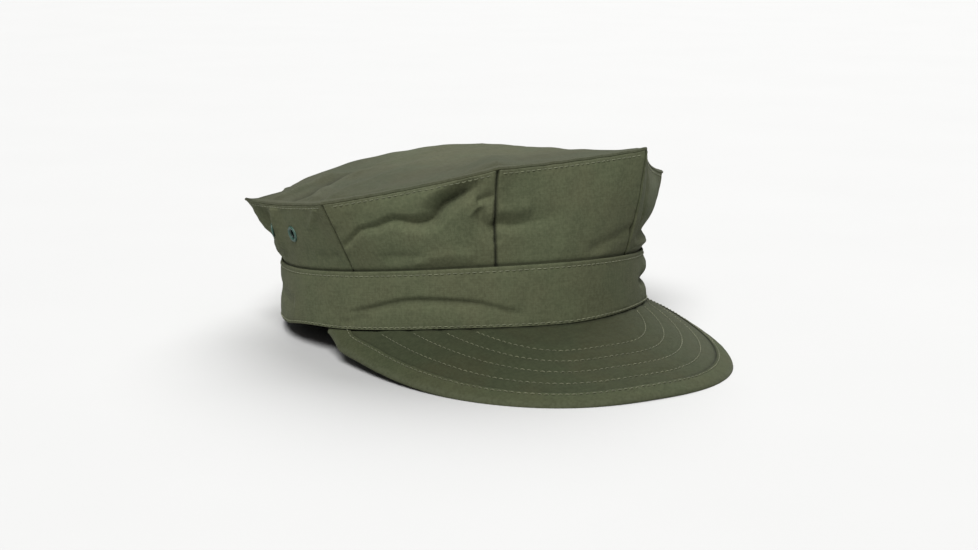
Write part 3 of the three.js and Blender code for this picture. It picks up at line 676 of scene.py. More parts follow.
def cotton(name, base, brown=0.5, sheen=0.05, streaks=1.0):
    n = Nodes(name)
    cloth = n.add("ShaderNodeUVMap", uv_map="cloth").outputs[0]
    solid = n.add("ShaderNodeTexCoord").outputs["Object"]

    def threads(direction):
        inputs = {"Vector": cloth, "Scale": WEAVE_SCALE, "Distortion": 0.6, "Detail": 1.0}
        return n.add("ShaderNodeTexWave", inputs, bands_direction=direction).outputs["Fac"]

    warp, weft = threads("X"), threads("Y")
    weave = n.math("MAXIMUM", warp, weft)
    thick_warp = n.noise(cloth, (300.0, 9.0, 1.0))
    thick_weft = n.noise(cloth, (9.0, 260.0, 1.0))
    streak = n.math("ADD", thick_warp, thick_weft)
    dye = n.noise(solid, (38.0, 38.0, 38.0), detail=2.0)
    mottle = n.noise(solid, (190.0, 190.0, 190.0), detail=3.0, roughness=0.65)
    grain = n.noise(solid, (700.0, 700.0, 700.0), detail=2.0)
    # two attributes of the mesh: how far the cloth is paler by wear and painted light, and how far it is
    # darker by painted shade
    wear_and_painted_light = n.add("ShaderNodeAttribute", attribute_name="wear_and_painted_light").outputs["Fac"]
    painted_shade = n.add("ShaderNodeAttribute", attribute_name="painted_shade").outputs["Fac"]

    r, g, b = base
    green = colour((r * 0.95, g * 1.01, b * 0.97))
    browner = colour((r * (1 + 0.09 * brown), g * (1 - 0.01 * brown), b * (1 - 0.05 * brown)))
    dyed = n.blend(n.ramp(dye, 0.35, 0.65, 0.0, 1.0), green, browner)
    streaked = n.blend(n.ramp(streak, 0.75, 1.25, 0.0, 0.34 * streaks), dyed, colour(base, 1.5))
    woven = n.blend(n.ramp(weave, 0.2, 1.0, 0.25, 0.0), streaked, colour(base, 0.62))
    mottled = n.blend(n.ramp(mottle, 0.38, 0.62, 0.28, 0.0), woven, colour(base, 0.72))
    grained = n.blend(n.ramp(grain, 0.36, 0.68, 0.0, 0.42), mottled, colour(base, 1.45))
    pale = colour((r * 1.55 + 0.01, g * 1.5 + 0.01, b * 1.6 + 0.01))
    # wear and painted light blend the cloth towards a paler olive, and painted shade blends it towards a
    # darker one
    worn_and_painted_light = n.blend(n.math("MULTIPLY", wear_and_painted_light, n.ramp(grain, 0.3, 0.6, 0.25, 0.6)), grained, pale)
    with_painted_shade = n.blend(painted_shade, worn_and_painted_light, colour(base, 0.35))
    n.tree.links.new(with_painted_shade, n.shader.inputs["Base Color"])
    n.tree.links.new(n.ramp(streak, 0.7, 1.3, 0.94, 0.82), n.shader.inputs["Roughness"])
    n.shader.inputs["Specular IOR Level"].default_value = 0.08
    n.shader.inputs["Sheen Weight"].default_value = sheen
    n.shader.inputs["Sheen Roughness"].default_value = 0.45
    n.shader.inputs["Sheen Tint"].default_value = (0.72, 0.74, 0.62, 1.0)

    fine = n.add("ShaderNodeBump", {"Height": weave, "Strength": 0.35, "Distance": THREAD_RELIEF})
    inputs = {"Height": streak, "Strength": 0.4, "Distance": THICK_THREAD_RELIEF, "Normal": fine.outputs[0]}
    lumpy = n.add("ShaderNodeBump", inputs)
    n.tree.links.new(lumpy.outputs[0], n.shader.inputs["Normal"])
    return n.material


print("threads", round(CLOTH_UNIT * math.pi / 10 / WEAVE_SCALE, 2), "mm apart")

# %% One cotton for each part
# these colours were set by comparing renders with the photo; the top is cut from the panels' cloth,
# and its darker colour is painted shade, which only makes its brightness follow the photo under these lights
CROWN_OLIVE = (0.078, 0.086, 0.049)
TOP_OLIVE = (0.057, 0.062, 0.0362)
BAND_OLIVE = (0.074, 0.081, 0.046)
BINDING_OLIVE = (0.045, 0.051, 0.027)
VISOR_OLIVE = (0.034, 0.039, 0.021)
crown_cotton = cotton("crown_cotton", CROWN_OLIVE)
top_cotton = cotton("top_cotton", TOP_OLIVE, brown=0.9)
band_cotton = cotton("band_cotton", BAND_OLIVE, brown=0.4, streaks=1.2)
visor_cotton = cotton("visor_cotton", VISOR_OLIVE, brown=1.2)
binding_cotton = cotton("binding_cotton", BINDING_OLIVE, brown=0.7)
print("cotton materials:", [m.name for m in bpy.data.materials if m.name.endswith("cotton")])

# %% [markdown]
# ## Side panels
# Eight pieces of cloth, each sewn to its neighbours, to the top and to the band. At a seam both
# cloths turn inward, which leaves a dark line, and small puckers follow it. The panels meet there,
# where the solids keep a narrow gap. Towards the top the panel sinks a little, to go under the top's
# rim, and a row of stitches presses it down. Below, it goes on a little way behind the band's upper
# edge. Its numbers are lengths in mm, apart from SHOULDER_FROM, SEWN_EDGE and SEAM_SHARES, which
# are shares.

# %% Side panels
TUCK_BEHIND_BAND = 3.2
SHOULDER, SHOULDER_FROM, SEWN_EDGE = 1.35, 0.6, 0.08
SEAM_ROLL, SEAM_ROLL_WIDTH = 1.5, 0.85
SEAM_SHARES = (0.6, 1, 0.5, 1, 1, 1, 1, 1)
EDGE_STITCH_ROW, STITCH_GROOVE, STITCH_GROOVE_WIDTH = 1.5, 0.12, 0.7
FOOT_HOLLOW, FOOT_HOLLOW_WIDTH = 0.45, 1.3
FRONT_SEAM_WELT = 0.3
PANEL_PUCKER, PANEL_RIPPLE, RIPPLE_FROM_SEAM = 0.16, 0.4, 6
# the upper rim is rounded only a little, because it is sewn under the top's rim
UNDER_TOP = 0.3


def panel_cloth(index, part, up):
    """The outer face of a side panel, without what its seams do to it."""
    first, second = corner(index), corner(index + 1)
    depth = all_folds(index, index + part, up)
    held = ease(up, 0, SEWN_EDGE) * (1 - ease(up, 1 - SEWN_EDGE, 1))
    belly = PANELS[index]["belly"] * np.sin(np.pi * part) * np.sin(np.pi * up)
    foot = crown_foot(mix(first["foot"], second["foot"], part))
    rise = mix(foot, upper_edge(index, part), up[..., None])
    seams = mix(seam_point(first, up), seam_point(second, up), part[..., None])
    low = mix(crown_foot(first["foot"]), crown_foot(second["foot"]), part[..., None])
    high = mix(corner_tip(first), corner_tip(second), part[..., None])
    cloth = rise + seams - mix(low, high, up[..., None])
    return push_out(cloth, belly - depth * held)


middle = panel_cloth(0, np.array([0.5]), np.array([0.5]))[0]
print("middle of the front panel:", middle.round(1))

# %% A panel as sewn
def panel_face(index, part, up, inset=0.0):
    """The panel as sewn: part and up are grids, and up below 0 is behind the band."""
    shown = np.clip(up, 0, 1)
    cloth = panel_cloth(index, part, shown)
    left, right = part * PANEL_SPAN, (1 - part) * PANEL_SPAN
    from_top, from_band = (1 - shown) * PANEL_RISE, shown * PANEL_RISE
    left_share, right_share = SEAM_SHARES[index], SEAM_SHARES[(index + 1) % 8]
    left_roll = left_share * bump(left, SEAM_ROLL_WIDTH * left_share)
    right_roll = right_share * bump(right, SEAM_ROLL_WIDTH * right_share)
    relief = -SEAM_ROLL * (left_roll + right_roll)
    if PANELS[index]["name"] == "side_front_left":
        # the seam next to the front panel is pressed to this side and stands up as a welt
        relief += FRONT_SEAM_WELT * ease(right, 0.6, 1.2) * (1 - ease(right, 3.0, 4.0))
    groove = STITCH_GROOVE * bump(from_top - EDGE_STITCH_ROW, STITCH_GROOVE_WIDTH)
    relief -= groove + FOOT_HOLLOW * bump(from_band, FOOT_HOLLOW_WIDTH)
    sewn = bump(from_top, 7) + bump(from_band, 6) + bump(left, 5) + bump(right, 5)
    puckers = PANEL_PUCKER * seam_pucker(cloth) * np.clip(sewn, 0, 1)
    ripples = PANEL_RIPPLE * cloth_ripple(cloth) * ease(from_band, 0, RIPPLE_FROM_SEAM)
    relief += puckers + ripples * ease(from_top, 0, RIPPLE_FROM_SEAM)
    below = np.clip(-up, 0, 1) * PANEL_RISE
    point = push_out(cloth, relief - inset)
    point[..., 2] -= SHOULDER * ease(shown, SHOULDER_FROM, 1) + below
    return point


seam_middle = np.zeros(1), np.full(1, 0.5)
rolled = panel_cloth(0, *seam_middle) - panel_face(0, *seam_middle)
print("the front panel's seam rolls in by", round(float(np.hypot(*rolled[0, :2])), 2), "mm")

# %% Build the panels
PANEL_CUTS_ACROSS, PANEL_CUTS_UP = 84, 50


def build_panel(index):
    parts = stations(PANEL_SPAN, PANEL_CUTS_ACROSS)
    tucked = [-TUCK_BEHIND_BAND / PANEL_RISE, -0.5 * TUCK_BEHIND_BAND / PANEL_RISE]
    ups = np.concatenate([tucked, stations(PANEL_RISE, PANEL_CUTS_UP)])
    part, up = np.meshgrid(parts, ups)
    half = CROWN_WALL / 2
    to_seam = np.minimum(part, 1 - part) * PANEL_SPAN
    to_rim = np.minimum((1 - up) * PANEL_RISE + UNDER_TOP, up * PANEL_RISE + TUCK_BEHIND_BAND)
    drawn = round_edge(np.minimum(to_seam, to_rim), half)
    outer = panel_face(index, part, up, drawn)
    inner = panel_face(index, part, up, CROWN_WALL - drawn)
    cloth_map = np.stack([(part - 0.5) * PANEL_SPAN, up * PANEL_RISE], -1)
    piece = sheet_piece(PANELS[index]["name"] + "_cloth", outer, inner, cloth_map)
    # wear: the upper rim is paler from rubbing
    wear_and_painted_light = 0.6 * bump((1 - up) * PANEL_RISE, 1.4)
    folded = all_folds(index, index + part, np.clip(up, 0, 1))
    sharpness = np.where(part < 0.5, SEAM_SHARES[index], SEAM_SHARES[(index + 1) % 8])
    # painted shade: darker in the seams, along the foot over and behind the band, and at the bottoms of the
    # deep folds
    in_seam = 0.8 * sharpness * bump(to_seam, 0.7)
    by_band = 0.7 * (1 - ease(up * PANEL_RISE, 0.3, 1.3))
    wear_and_painted_light_layers(piece, wear_and_painted_light, in_seam + by_band + 0.4 * ease(folded, 2, 6))
    return piece


for index, panel in enumerate(PANELS):
    finish_piece(build_panel(index), crown_cotton, "crown_cloth", panel["name"])

# %% [markdown]
# ## The top
# The top is one piece of cloth that hangs between eight points. It stands highest towards the
# front, and soft ridges and hollows run from the points towards the middle, where the seam gathers
# the cloth. A polar grid suits it: rings from the crest out to the edge, with the last ones rolled
# over to make the welt that the seam leaves along the edge.

# %% Top
CREST, CREST_POWER, CREST_BACK_RISE = np.array([12.0, -7.0, 78.0]), 1.5, 0.05
PUCKER_HEIGHTS = (-0.7, 1.6, 1.4, 0.8, -0.4, 1.8, 1.8, 1.2)
PUCKER_WIDTH, PUCKER_FROM, PUCKER_FULL, PUCKER_END = 8.0, 0.35, 0.8, 0.9
TOP_SPOKES, TOP_RINGS = 44, 80
TOP_SCALE = np.ones(2)
# the top's folds die out over the last part of the way to its edge
TOP_FOLDS_END = 0.94
TOP_RIPPLE, TOP_PUCKER = 0.55, 0.14
TOP_GROOVE, TOP_GROOVE_ROW, TOP_GROOVE_WIDTH = 0.25, 3.6, 1.1


def top_folds(x, y):
    folds = [dict(zip(FOLD_COLUMNS, row)) for row in TOP_FOLDS.values()]
    return sum(valley(x, y, scale=TOP_SCALE, **fold) for fold in folds)


def top_cloth(index, part, out):
    edge = upper_edge(index, part)
    x, y = mix(CREST[0], edge[..., 0], out), mix(CREST[1], edge[..., 1], out)
    fall = mix(corner(index)["fall"], corner(index + 1)["fall"], part)
    reach = out ** mix(CREST_POWER, fall, out)
    z = mix(CREST[2] + CREST_BACK_RISE * (y - CREST[1]), edge[..., 2], reach)
    for k, height in enumerate(PUCKER_HEIGHTS):
        spoke = corner_tip(corner(k))[:2] - CREST[:2]
        along = ((x - CREST[0]) * spoke[0] + (y - CREST[1]) * spoke[1]) / (spoke @ spoke)
        aside = ((x - CREST[0]) * spoke[1] - (y - CREST[1]) * spoke[0]) / np.linalg.norm(spoke)
        lifted = height * ease(along, PUCKER_FROM, PUCKER_FULL) * (1 - ease(out, PUCKER_END, 1))
        z = z + lifted * bump(aside, PUCKER_WIDTH)
    return points_of(x, y, z - top_folds(x, y) * (1 - ease(out, TOP_FOLDS_END, 1)))


def top_face(index, part, out, depth=0.0):
    cloth = top_cloth(index, part, out)
    edge = upper_edge(index, part)
    from_edge = np.hypot(cloth[..., 0] - edge[..., 0], cloth[..., 1] - edge[..., 1])
    relief = TOP_RIPPLE * cloth_ripple(cloth) * ease(from_edge, 0, 12)
    relief += TOP_PUCKER * seam_pucker(cloth) * bump(from_edge, 6)
    relief -= TOP_GROOVE * bump(from_edge - TOP_GROOVE_ROW, TOP_GROOVE_WIDTH)
    cloth[..., 2] += relief - depth
    return cloth


print("crest of the top:", top_face(0, np.zeros(1), np.full(1, 0.001))[0].round(1))

# %% Build the top
# about how far the edge is from the crest, which turns a part of the way into mm
TOP_REACH = 100
# the innermost ring is a pinhole, so that no face there shrinks to a point
PINHOLE = 0.0005
RINGS_FROM_RIM = np.array([3.2, 2.4, 1.7, 1.2, 0.8, 0.5, 0.25, 0.1, 0.0])
WELT, WELT_WIDTH = 0.15, 1.2


def build_top():
    half = CROWN_WALL / 2
    outs = np.sin(np.linspace(0, np.pi / 2, TOP_RINGS + 1))
    outs[0] = PINHOLE
    near = 1 - RINGS_FROM_RIM / TOP_REACH
    outs = np.concatenate([outs[outs < near[0]], near])
    grids = [[], []]
    maps = []
    for index in range(8):
        part, out = np.meshgrid(np.arange(TOP_SPOKES) / TOP_SPOKES, outs)
        drawn = round_edge((1 - out) * TOP_REACH, half)
        welt = WELT * bump((1 - out) * TOP_REACH, WELT_WIDTH)
        outer = push_out(top_face(index, part, out, drawn), welt)
        grids[0].append(outer)
        grids[1].append(push_out(top_face(index, part, out, CROWN_WALL - drawn), welt))
        maps.append(outer[..., :2])
    outer, inner = np.concatenate(grids[0], 1), np.concatenate(grids[1], 1)
    cloth_map = np.concatenate(maps, 1)
    cloth_map = np.concatenate([cloth_map, cloth_map[:, :1]], 1)
    piece = sheet_piece("crown_top_cloth", outer[::-1], inner[::-1], cloth_map[::-1], loop=True)
    folded = top_folds(outer[::-1, :, 0], outer[::-1, :, 1])
    rim = 0.8 * bump((1 - outs[::-1]) * TOP_REACH, 1.4)[:, None]
    from_crest = np.hypot(outer[::-1, :, 0] - CREST[0], outer[::-1, :, 1] - CREST[1])
    # painted shade: the top is darker away from its crest; this darkening isn't soil that the photo shows:
    # it makes the brightness follow the photo
    away = 0.35 * ease(from_crest, 30.0, 75.0)
    # the rim is paler with wear; the ridges are paler with painted light, and the hollows are darker with
    # painted shade
    wear_and_painted_light_layers(piece, rim + 0.8 * ease(-folded, 0.2, 2.0), 0.42 * ease(folded, 0.2, 2.0) + away)
    return piece


finish_piece(build_top(), top_cotton, "crown_cloth", "crown_top")

# %% [markdown]
# ## The band
# The band is folded double over a soft stiffener, so its upper edge is a rounded fold that stands
# a little proud of the crown. Wear has pressed a long crease into its right front. We build it as
# one loop, with rows close together at both edges.

# %% Band
BAND_SHOWN_WALL = 1.2
BAND_TOP_ROW, BAND_FOOT_ROW = 2.0, 1.3
BAND_TOP_GROOVE, BAND_FOOT_GROOVE = 0.15, 0.12
BAND_RIPPLE, BAND_PUCKER, BAND_PUCKER_WIDTH = 0.3, 0.10, 4
BAND_MEAN_RADIUS = 93.0
BAND_CUTS_ROUND, BAND_CUTS_UP = 540, 20


def band_face(turn, rise, inset=0.0):
    height = band_high(turn) - band_low(turn, 0.0)
    up = rise * height
    crease = crease_depth(np.degrees(turn), rise)
    relief = BAND_FOOT_GROOVE * bump(up - BAND_FOOT_ROW, 0.7)
    relief = relief + BAND_TOP_GROOVE * bump(height - up - BAND_TOP_ROW, 0.8)
    plain = points_of(*band_plan(turn, inset), up)
    relief -= BAND_RIPPLE * cloth_ripple(plain) * ease(up, 0, 4) * ease(height - up, 0, 4)
    by_edges = bump(up, BAND_PUCKER_WIDTH) + bump(height - up, BAND_PUCKER_WIDTH)
    relief -= BAND_PUCKER * seam_pucker(plain) * by_edges
    x, y = band_plan(turn, inset + BAND_TOP_LEAN * rise + crease + relief)
    return points_of(x, y, mix(band_low(turn, np.clip(inset, 0, BAND_WALL)), band_high(turn), rise))


def build_band():
    turns = np.linspace(0, 2 * np.pi, BAND_CUTS_ROUND + 1)[:-1]
    rises = stations(BAND_HEIGHT, BAND_CUTS_UP)
    turn, rise = np.meshgrid(turns, rises)
    half = BAND_SHOWN_WALL / 2
    drawn = round_edge(np.minimum(rise, 1 - rise) * BAND_HEIGHT, half)
    outer = band_face(turn, rise, drawn)
    inner = band_face(turn, rise, BAND_SHOWN_WALL - drawn)
    lap = np.concatenate([turns, [2 * np.pi]])
    cloth_map = np.stack(np.meshgrid(lap * BAND_MEAN_RADIUS, rises * BAND_HEIGHT), -1)
    piece = sheet_piece("band_cloth", outer, inner, cloth_map, loop=True)
    # wear: both edges of the band are paler from rubbing
    wear_and_painted_light = 0.2 * bump((1 - rise) * BAND_HEIGHT - 0.8, 0.9) + 0.4 * bump(rise * BAND_HEIGHT - 0.8, 0.9)
    # painted shade: darker at the bottoms of the band's creases
    painted_shade = 0.4 * ease(crease_depth(np.degrees(turn), rise), 0.5, 1.5)
    wear_and_painted_light_layers(piece, wear_and_painted_light, painted_shade)
    return piece


finish_piece(build_band(), band_cotton, "band_cloth", "band")

# %% [markdown]
# ## The visor
# A stiff board between two cloths, quilted by rows of stitches that run along its edge. Each row
# pulls a shallow groove into the cloth. The distance from any point to the visor's edge tells which
# row it is near, so the grooves follow the edge all the way round. The cloth is made paler towards
# the wearer's left with painted light, so that its brightness follows the photo under our lights,
# and painted shade darkens it along the binding's inner edge and at its root under the band.

# %% Visor board
VISOR_STITCH_ROWS = (38.5, 30.4, 22.4, 14.3)
BINDING_STITCH_ROW = 6.1
BINDING_INNER_EDGE = 7.2
VISOR_GROOVE, VISOR_RIPPLE, VISOR_PUCKER = 0.30, 0.16, 0.08
QUILT_DEPTH, QUILT_PERIOD = 0.10, 8.05
# what the board loses under the binding, and how much of the relief its underside has
BOARD_THINNING, UNDERSIDE_SHARE = 0.8, 0.6
POINTS_AT_ONCE = 4000
fine_turns = edge_turn(np.linspace(-1, 1, 1201))
fine_edge = np.stack(edge_curve(fine_turns), -1)


def inset_from_edge(x, y):
    here = np.stack(np.broadcast_arrays(x, y), -1).reshape(-1, 2)
    nearest = np.empty(len(here))
    for start in range(0, len(here), POINTS_AT_ONCE):
        block = slice(start, start + POINTS_AT_ONCE)
        away = here[block, None, :] - fine_edge
        nearest[block] = np.sqrt((away**2).sum(-1)).min(1)
    return nearest.reshape(np.shape(x))


def visor_relief(x, y):
    inset = inset_from_edge(x, y)
    plan = points_of(x, y, 0 * x)
    relief = VISOR_RIPPLE * board_ripple(plan)
    for row in VISOR_STITCH_ROWS:
        relief = relief - VISOR_GROOVE * bump(inset - row, 0.8)
    quilt = np.cos((inset - VISOR_STITCH_ROWS[-1]) / QUILT_PERIOD * 2 * np.pi)
    relief -= QUILT_DEPTH * quilt * ease(inset, 8, 12)
    relief += VISOR_PUCKER * seam_pucker(plan)
    return relief, inset


def visor_face(x, y, under=False):
    relief, inset = visor_relief(x, y)
    thin = BOARD_THINNING * (1 - ease(inset, 5.6, 6.6))
    if under:
        return points_of(x, y, visor_top(x, y) - VISOR_BOARD + thin - UNDERSIDE_SHARE * relief)
    return points_of(x, y, visor_top(x, y) + relief - thin)


print("relief at the middle of the visor:", visor_relief(np.zeros(1), np.full(1, -130.0))[0].round(2), "mm")

# %% Build the visor
def build_visor():
    shares = np.linspace(-1, 1, 241)
    outs = np.concatenate([np.linspace(0, 0.9, 62), np.linspace(0.9, 1, 16)[1:]])
    share, out = np.meshgrid(shares, outs)
    root_x, root_y = band_plan(np.radians(VISOR_HALF_ANGLE) * share, 1.4)
    edge_x, edge_y = edge_plan(edge_turn(VISOR_END_SHARE * share), BINDING_ROUND)
    x, y = mix(root_x, edge_x, out), mix(root_y, edge_y, out)
    cloth_map = np.stack([x, y], -1)
    piece = sheet_piece("visor_cloth", visor_face(x, y), visor_face(x, y, under=True), cloth_map)
    inset = inset_from_edge(x, y)
    # painted light: the visor is paler towards the wearer's left; painted shade: darker along the binding's
    # inner edge, most at the left, and at the root by the band
    far_side = ease(x, 10, 60)
    by_binding = (0.3 + 0.7 * far_side) * bump(inset - BINDING_INNER_EDGE, 0.9)
    by_band = 0.5 * (1 - ease(out, 0.02, 0.06))
    wear_and_painted_light_layers(piece, 0.65 * far_side, by_binding + by_band)
    return piece


finish_piece(build_visor(), visor_cotton, "visor_cloth", "visor")

# %% [markdown]
# ## The bound edge
# A strip of the same cloth is wrapped round the visor's edge and sewn through. Seen in section it
# is a hairpin: a round nose and two legs with folded ends. We sweep that section along the edge.
# Its inner edge is darkened with painted shade at the wearer's left, so that its brightness follows the
# photo.

# %% Binding
BINDING_CLOTH = 0.9
BOARD_THINNED_HALF = 0.75
BINDING_GROOVE, BINDING_PUCKER, BINDING_RIPPLE = 0.22, 0.16, 0.12
# millimetres of cloth once round the section, where the UV map's last row ends
BINDING_GIRTH = 30.0


def binding_section():
    """Pairs of distance from the edge and height over the board's middle, once round the hairpin."""
    outer = BOARD_THINNED_HALF + BINDING_CLOTH
    legs = np.linspace(BINDING_INNER_EDGE, 2.4, 12)[1:]
    nose_angles = np.linspace(np.pi / 2, -np.pi / 2, 13)
    nose = [(outer * 1.25 * (1 - math.cos(a)), outer * math.sin(a)) for a in nose_angles]
    top_leg = [(inset, outer) for inset in legs]
    end = [(BINDING_INNER_EDGE + 0.05, outer * 0.75), (BINDING_INNER_EDGE, outer * 0.92)]
    inside_top = [
        (BINDING_INNER_EDGE, BOARD_THINNED_HALF + 0.05),
        (4.5, BOARD_THINNED_HALF),
        (2.0, BOARD_THINNED_HALF),
    ]
    half = [*reversed(inside_top), *end, *top_leg]
    lower = [(inset, -height) for inset, height in reversed(half)]
    return np.array([*half, *nose[1:-1], *lower])


def binding_face(turn, inset, height):
    x, y = edge_plan(turn, inset)
    outer = BOARD_THINNED_HALF + BINDING_CLOTH
    place = points_of(x, y, 0 * x)
    level = height / outer
    relief = -BINDING_GROOVE * bump(inset - BINDING_STITCH_ROW, 0.7) * level
    relief += BINDING_PUCKER * seam_pucker(place) * level + BINDING_RIPPLE * board_ripple(place) * level
    return points_of(x, y, visor_top(x, y) - VISOR_BOARD / 2 + height + relief)


print("section of the binding:", len(binding_section()), "points")

# %% Build the binding
def build_binding():
    section = binding_section()
    turns = edge_turn(np.linspace(-1, 1, 321))
    turn, inset = np.meshgrid(turns, section[:, 0])
    height = np.repeat(section[:, 1:], len(turns), 1)
    tube = binding_face(turn, inset, height)
    at_left = tube[..., 0] > 20
    rows, columns = tube.shape[:2]
    r, c = np.meshgrid(np.arange(rows), np.arange(columns - 1), indexing="ij")
    r, c = r.ravel(), c.ravel()
    vertex = lambda row, column: (row % rows) * columns + column
    faces = np.stack([vertex(r, c), vertex(r, c + 1), vertex(r + 1, c + 1), vertex(r + 1, c)], -1)
    run = np.concatenate([[0], np.cumsum(np.linalg.norm(np.diff(tube[0], axis=0), axis=1))])
    steps = np.linalg.norm(np.diff(section, axis=0), axis=1)
    girth = np.concatenate([[0], np.cumsum(steps), [BINDING_GIRTH]])

    def slant(row, column):
        """The strip is cut on the bias, so its threads cross the edge aslant."""
        aslant = [run[column] + girth[row], girth[row] - run[column]]
        return np.stack(aslant, -1) * math.sqrt(0.5)

    uv = np.stack([slant(r, c), slant(r, c + 1), slant(r + 1, c + 1), slant(r + 1, c)], 1)
    piece = mesh_piece("visor_binding_cloth", to_room(tube.reshape(-1, 3)), faces, uv)
    cap_ends = bmesh.new()
    cap_ends.from_mesh(piece.data)
    bmesh.ops.holes_fill(cap_ends, edges=[e for e in cap_ends.edges if e.is_boundary])
    bmesh.ops.recalc_face_normals(cap_ends, faces=cap_ends.faces)
    cap_ends.to_mesh(piece.data)
    cap_ends.free()
    # wear: the binding's nose is paler from rubbing
    wear_and_painted_light = np.repeat(0.9 * bump(section[:, :1], 1.2), columns, 1)
    # painted shade: darker along the inner edge at the wearer's left
    wear_and_painted_light_layers(piece, wear_and_painted_light, 0.7 * bump(inset - BINDING_INNER_EDGE, 0.6) * at_left)
    return piece


finish_piece(build_binding(), binding_cotton, "binding_cloth", "visor_binding")

# %% [markdown]
# ## Stitches
# A row of lockstitches is a line of short threads, each coming up out of the cloth and going down
# again. One stitch is a small bent tube; a row is many of them along a curve on the cloth, laid with
# the surface's own normal. They are real geometry, because at this size a painted dash would look
# flat from the side.

# %% Thread material
def thread_material(name, dark, pale):
    n = Nodes(name)
    solid = n.add("ShaderNodeTexCoord").outputs["Object"]
    fade = n.noise(solid, (160.0, 160.0, 160.0), detail=2.0)
    inputs = {"Vector": solid, "Scale": 900.0, "Distortion": 2.0}
    twist = n.add("ShaderNodeTexWave", inputs, bands_direction="DIAGONAL").outputs["Fac"]
    shade = n.blend(n.ramp(fade, 0.35, 0.7, 0.0, 1.0), colour(dark), colour(pale))
    plied = n.blend(n.ramp(twist, 0.1, 0.6, 0.35, 0.0), shade, colour(dark, 0.6))
    n.tree.links.new(plied, n.shader.inputs["Base Color"])
    ply = n.add("ShaderNodeBump", {"Height": twist, "Strength": 0.4, "Distance": 0.00008})
    n.tree.links.new(ply.outputs[0], n.shader.inputs["Normal"])
    n.shader.inputs["Roughness"].default_value = 0.65
    n.shader.inputs["Sheen Weight"].default_value = 0.1
    return n.material


visor_thread = thread_material("visor_thread", (0.090, 0.096, 0.052), (0.150, 0.156, 0.086))
seam_thread = thread_material("seam_thread", (0.125, 0.134, 0.078), (0.195, 0.205, 0.118))
print("threads:", visor_thread.name, "and", seam_thread.name)

# %% Stitch rows
STITCH_LENGTH, STITCH_PAUSE, STITCH_START = 2.1, 0.75, 0.4
THREAD_RADIUS, RING_SIDES, STITCH_RINGS = 0.2, 6, 5
# a stitch stands over the cloth at its middle and dives into it at its ends
STITCH_LIFT, STITCH_ARCH, STITCH_DIVE = 0.12, 0.22, 0.18


def cloth_row(face, u, v, step=0.002):
    """Points and outward normals along a curve (u, v) on a face."""
    u, v = np.broadcast_arrays(np.asarray(u, float), np.asarray(v, float))
    points = face(u, v)
    normal = np.cross(face(u + step, v) - face(u - step, v), face(u, v + step) - face(u, v - step))
    return points, normal / np.linalg.norm(normal, axis=-1)[:, None]


def stitch_row(points, normals, flip):
    """Vertices and faces of all stitches along a row of points."""
    if flip:
        normals = -normals
    run = np.concatenate([[0], np.cumsum(np.linalg.norm(np.diff(points, axis=0), axis=1))])
    pick = lambda where, values: np.stack([np.interp(where, run, values[:, k]) for k in range(3)], -1)
    starts = np.arange(STITCH_START, run[-1] - STITCH_LENGTH, STITCH_LENGTH + STITCH_PAUSE)
    bends = np.linspace(0, 1, STITCH_RINGS)
    where = starts[:, None] + bends * STITCH_LENGTH
    centre, out = pick(where, points), pick(where, normals)
    out /= np.linalg.norm(out, axis=-1)[..., None]
    along = np.gradient(centre, axis=1)
    along /= np.linalg.norm(along, axis=-1)[..., None]
    side = np.cross(along, out)
    rise = np.sin(np.pi * bends)
    arch = STITCH_LIFT + STITCH_ARCH * rise - STITCH_DIVE * (1 - rise)
    centre = centre + out * arch[:, None]
    radius = THREAD_RADIUS * (0.45 + 0.55 * np.sin(np.pi * np.clip(bends * 0.9 + 0.05, 0, 1)) ** 0.5)
    angles = np.arange(RING_SIDES) / RING_SIDES * 2 * np.pi
    ring = np.cos(angles)[:, None] * side[:, :, None, :] + np.sin(angles)[:, None] * out[:, :, None, :]
    vertices = centre[:, :, None, :] + ring * radius[:, None, None]
    block = STITCH_RINGS * RING_SIDES
    r, s = np.meshgrid(np.arange(STITCH_RINGS - 1), np.arange(RING_SIDES), indexing="ij")
    r, s = r.ravel(), s.ravel()
    at = lambda ring_index, s_index: ring_index * RING_SIDES + s_index % RING_SIDES
    tube = np.stack([at(r, s), at(r + 1, s), at(r + 1, s + 1), at(r, s + 1)], -1)
    faces = (tube + (np.arange(len(starts)) * block)[:, None, None]).reshape(-1, 4)
    ends = []
    for k in range(len(starts)):
        ends.append([k * block + i for i in range(RING_SIDES)])
        ends.append([k * block + (STITCH_RINGS - 1) * RING_SIDES + i for i in reversed(range(RING_SIDES))])
    return vertices.reshape(-1, 3), faces.tolist(), ends


print("a stitch is", STITCH_LENGTH, "mm long and", 2 * THREAD_RADIUS, "mm thick")

# %% One mesh for all stitches of a piece
def stitch_piece(name, rows, slot, thread):
    """One mesh that holds every stitch of these rows."""
    vertices, faces = [], []
    total = 0
    for points, normals, flip in rows:
        more, tubes, ends = stitch_row(points, normals, flip)
        faces += [[i + total for i in face] for face in tubes + ends]
        vertices.append(more)
        total += len(more)
    mesh = bpy.data.meshes.new(name)
    mesh.from_pydata(to_room(np.vstack(vertices)).tolist(), [], faces)
    tidy = bmesh.new()
    tidy.from_mesh(mesh)
    bmesh.ops.recalc_face_normals(tidy, faces=tidy.faces)
    tidy.to_mesh(mesh)
    tidy.free()
    mesh.shade_smooth()
    piece = bpy.data.objects.new(name, mesh)
    bpy.context.collection.objects.link(piece)
    finish_piece(piece, thread, slot)
    print("   about", total // (STITCH_RINGS * RING_SIDES), "stitches")


# %% [markdown]
# The visor's rows are lines at a fixed distance from its edge, on both faces. Rows that run into
# the band stop there, since the band is sewn over them.

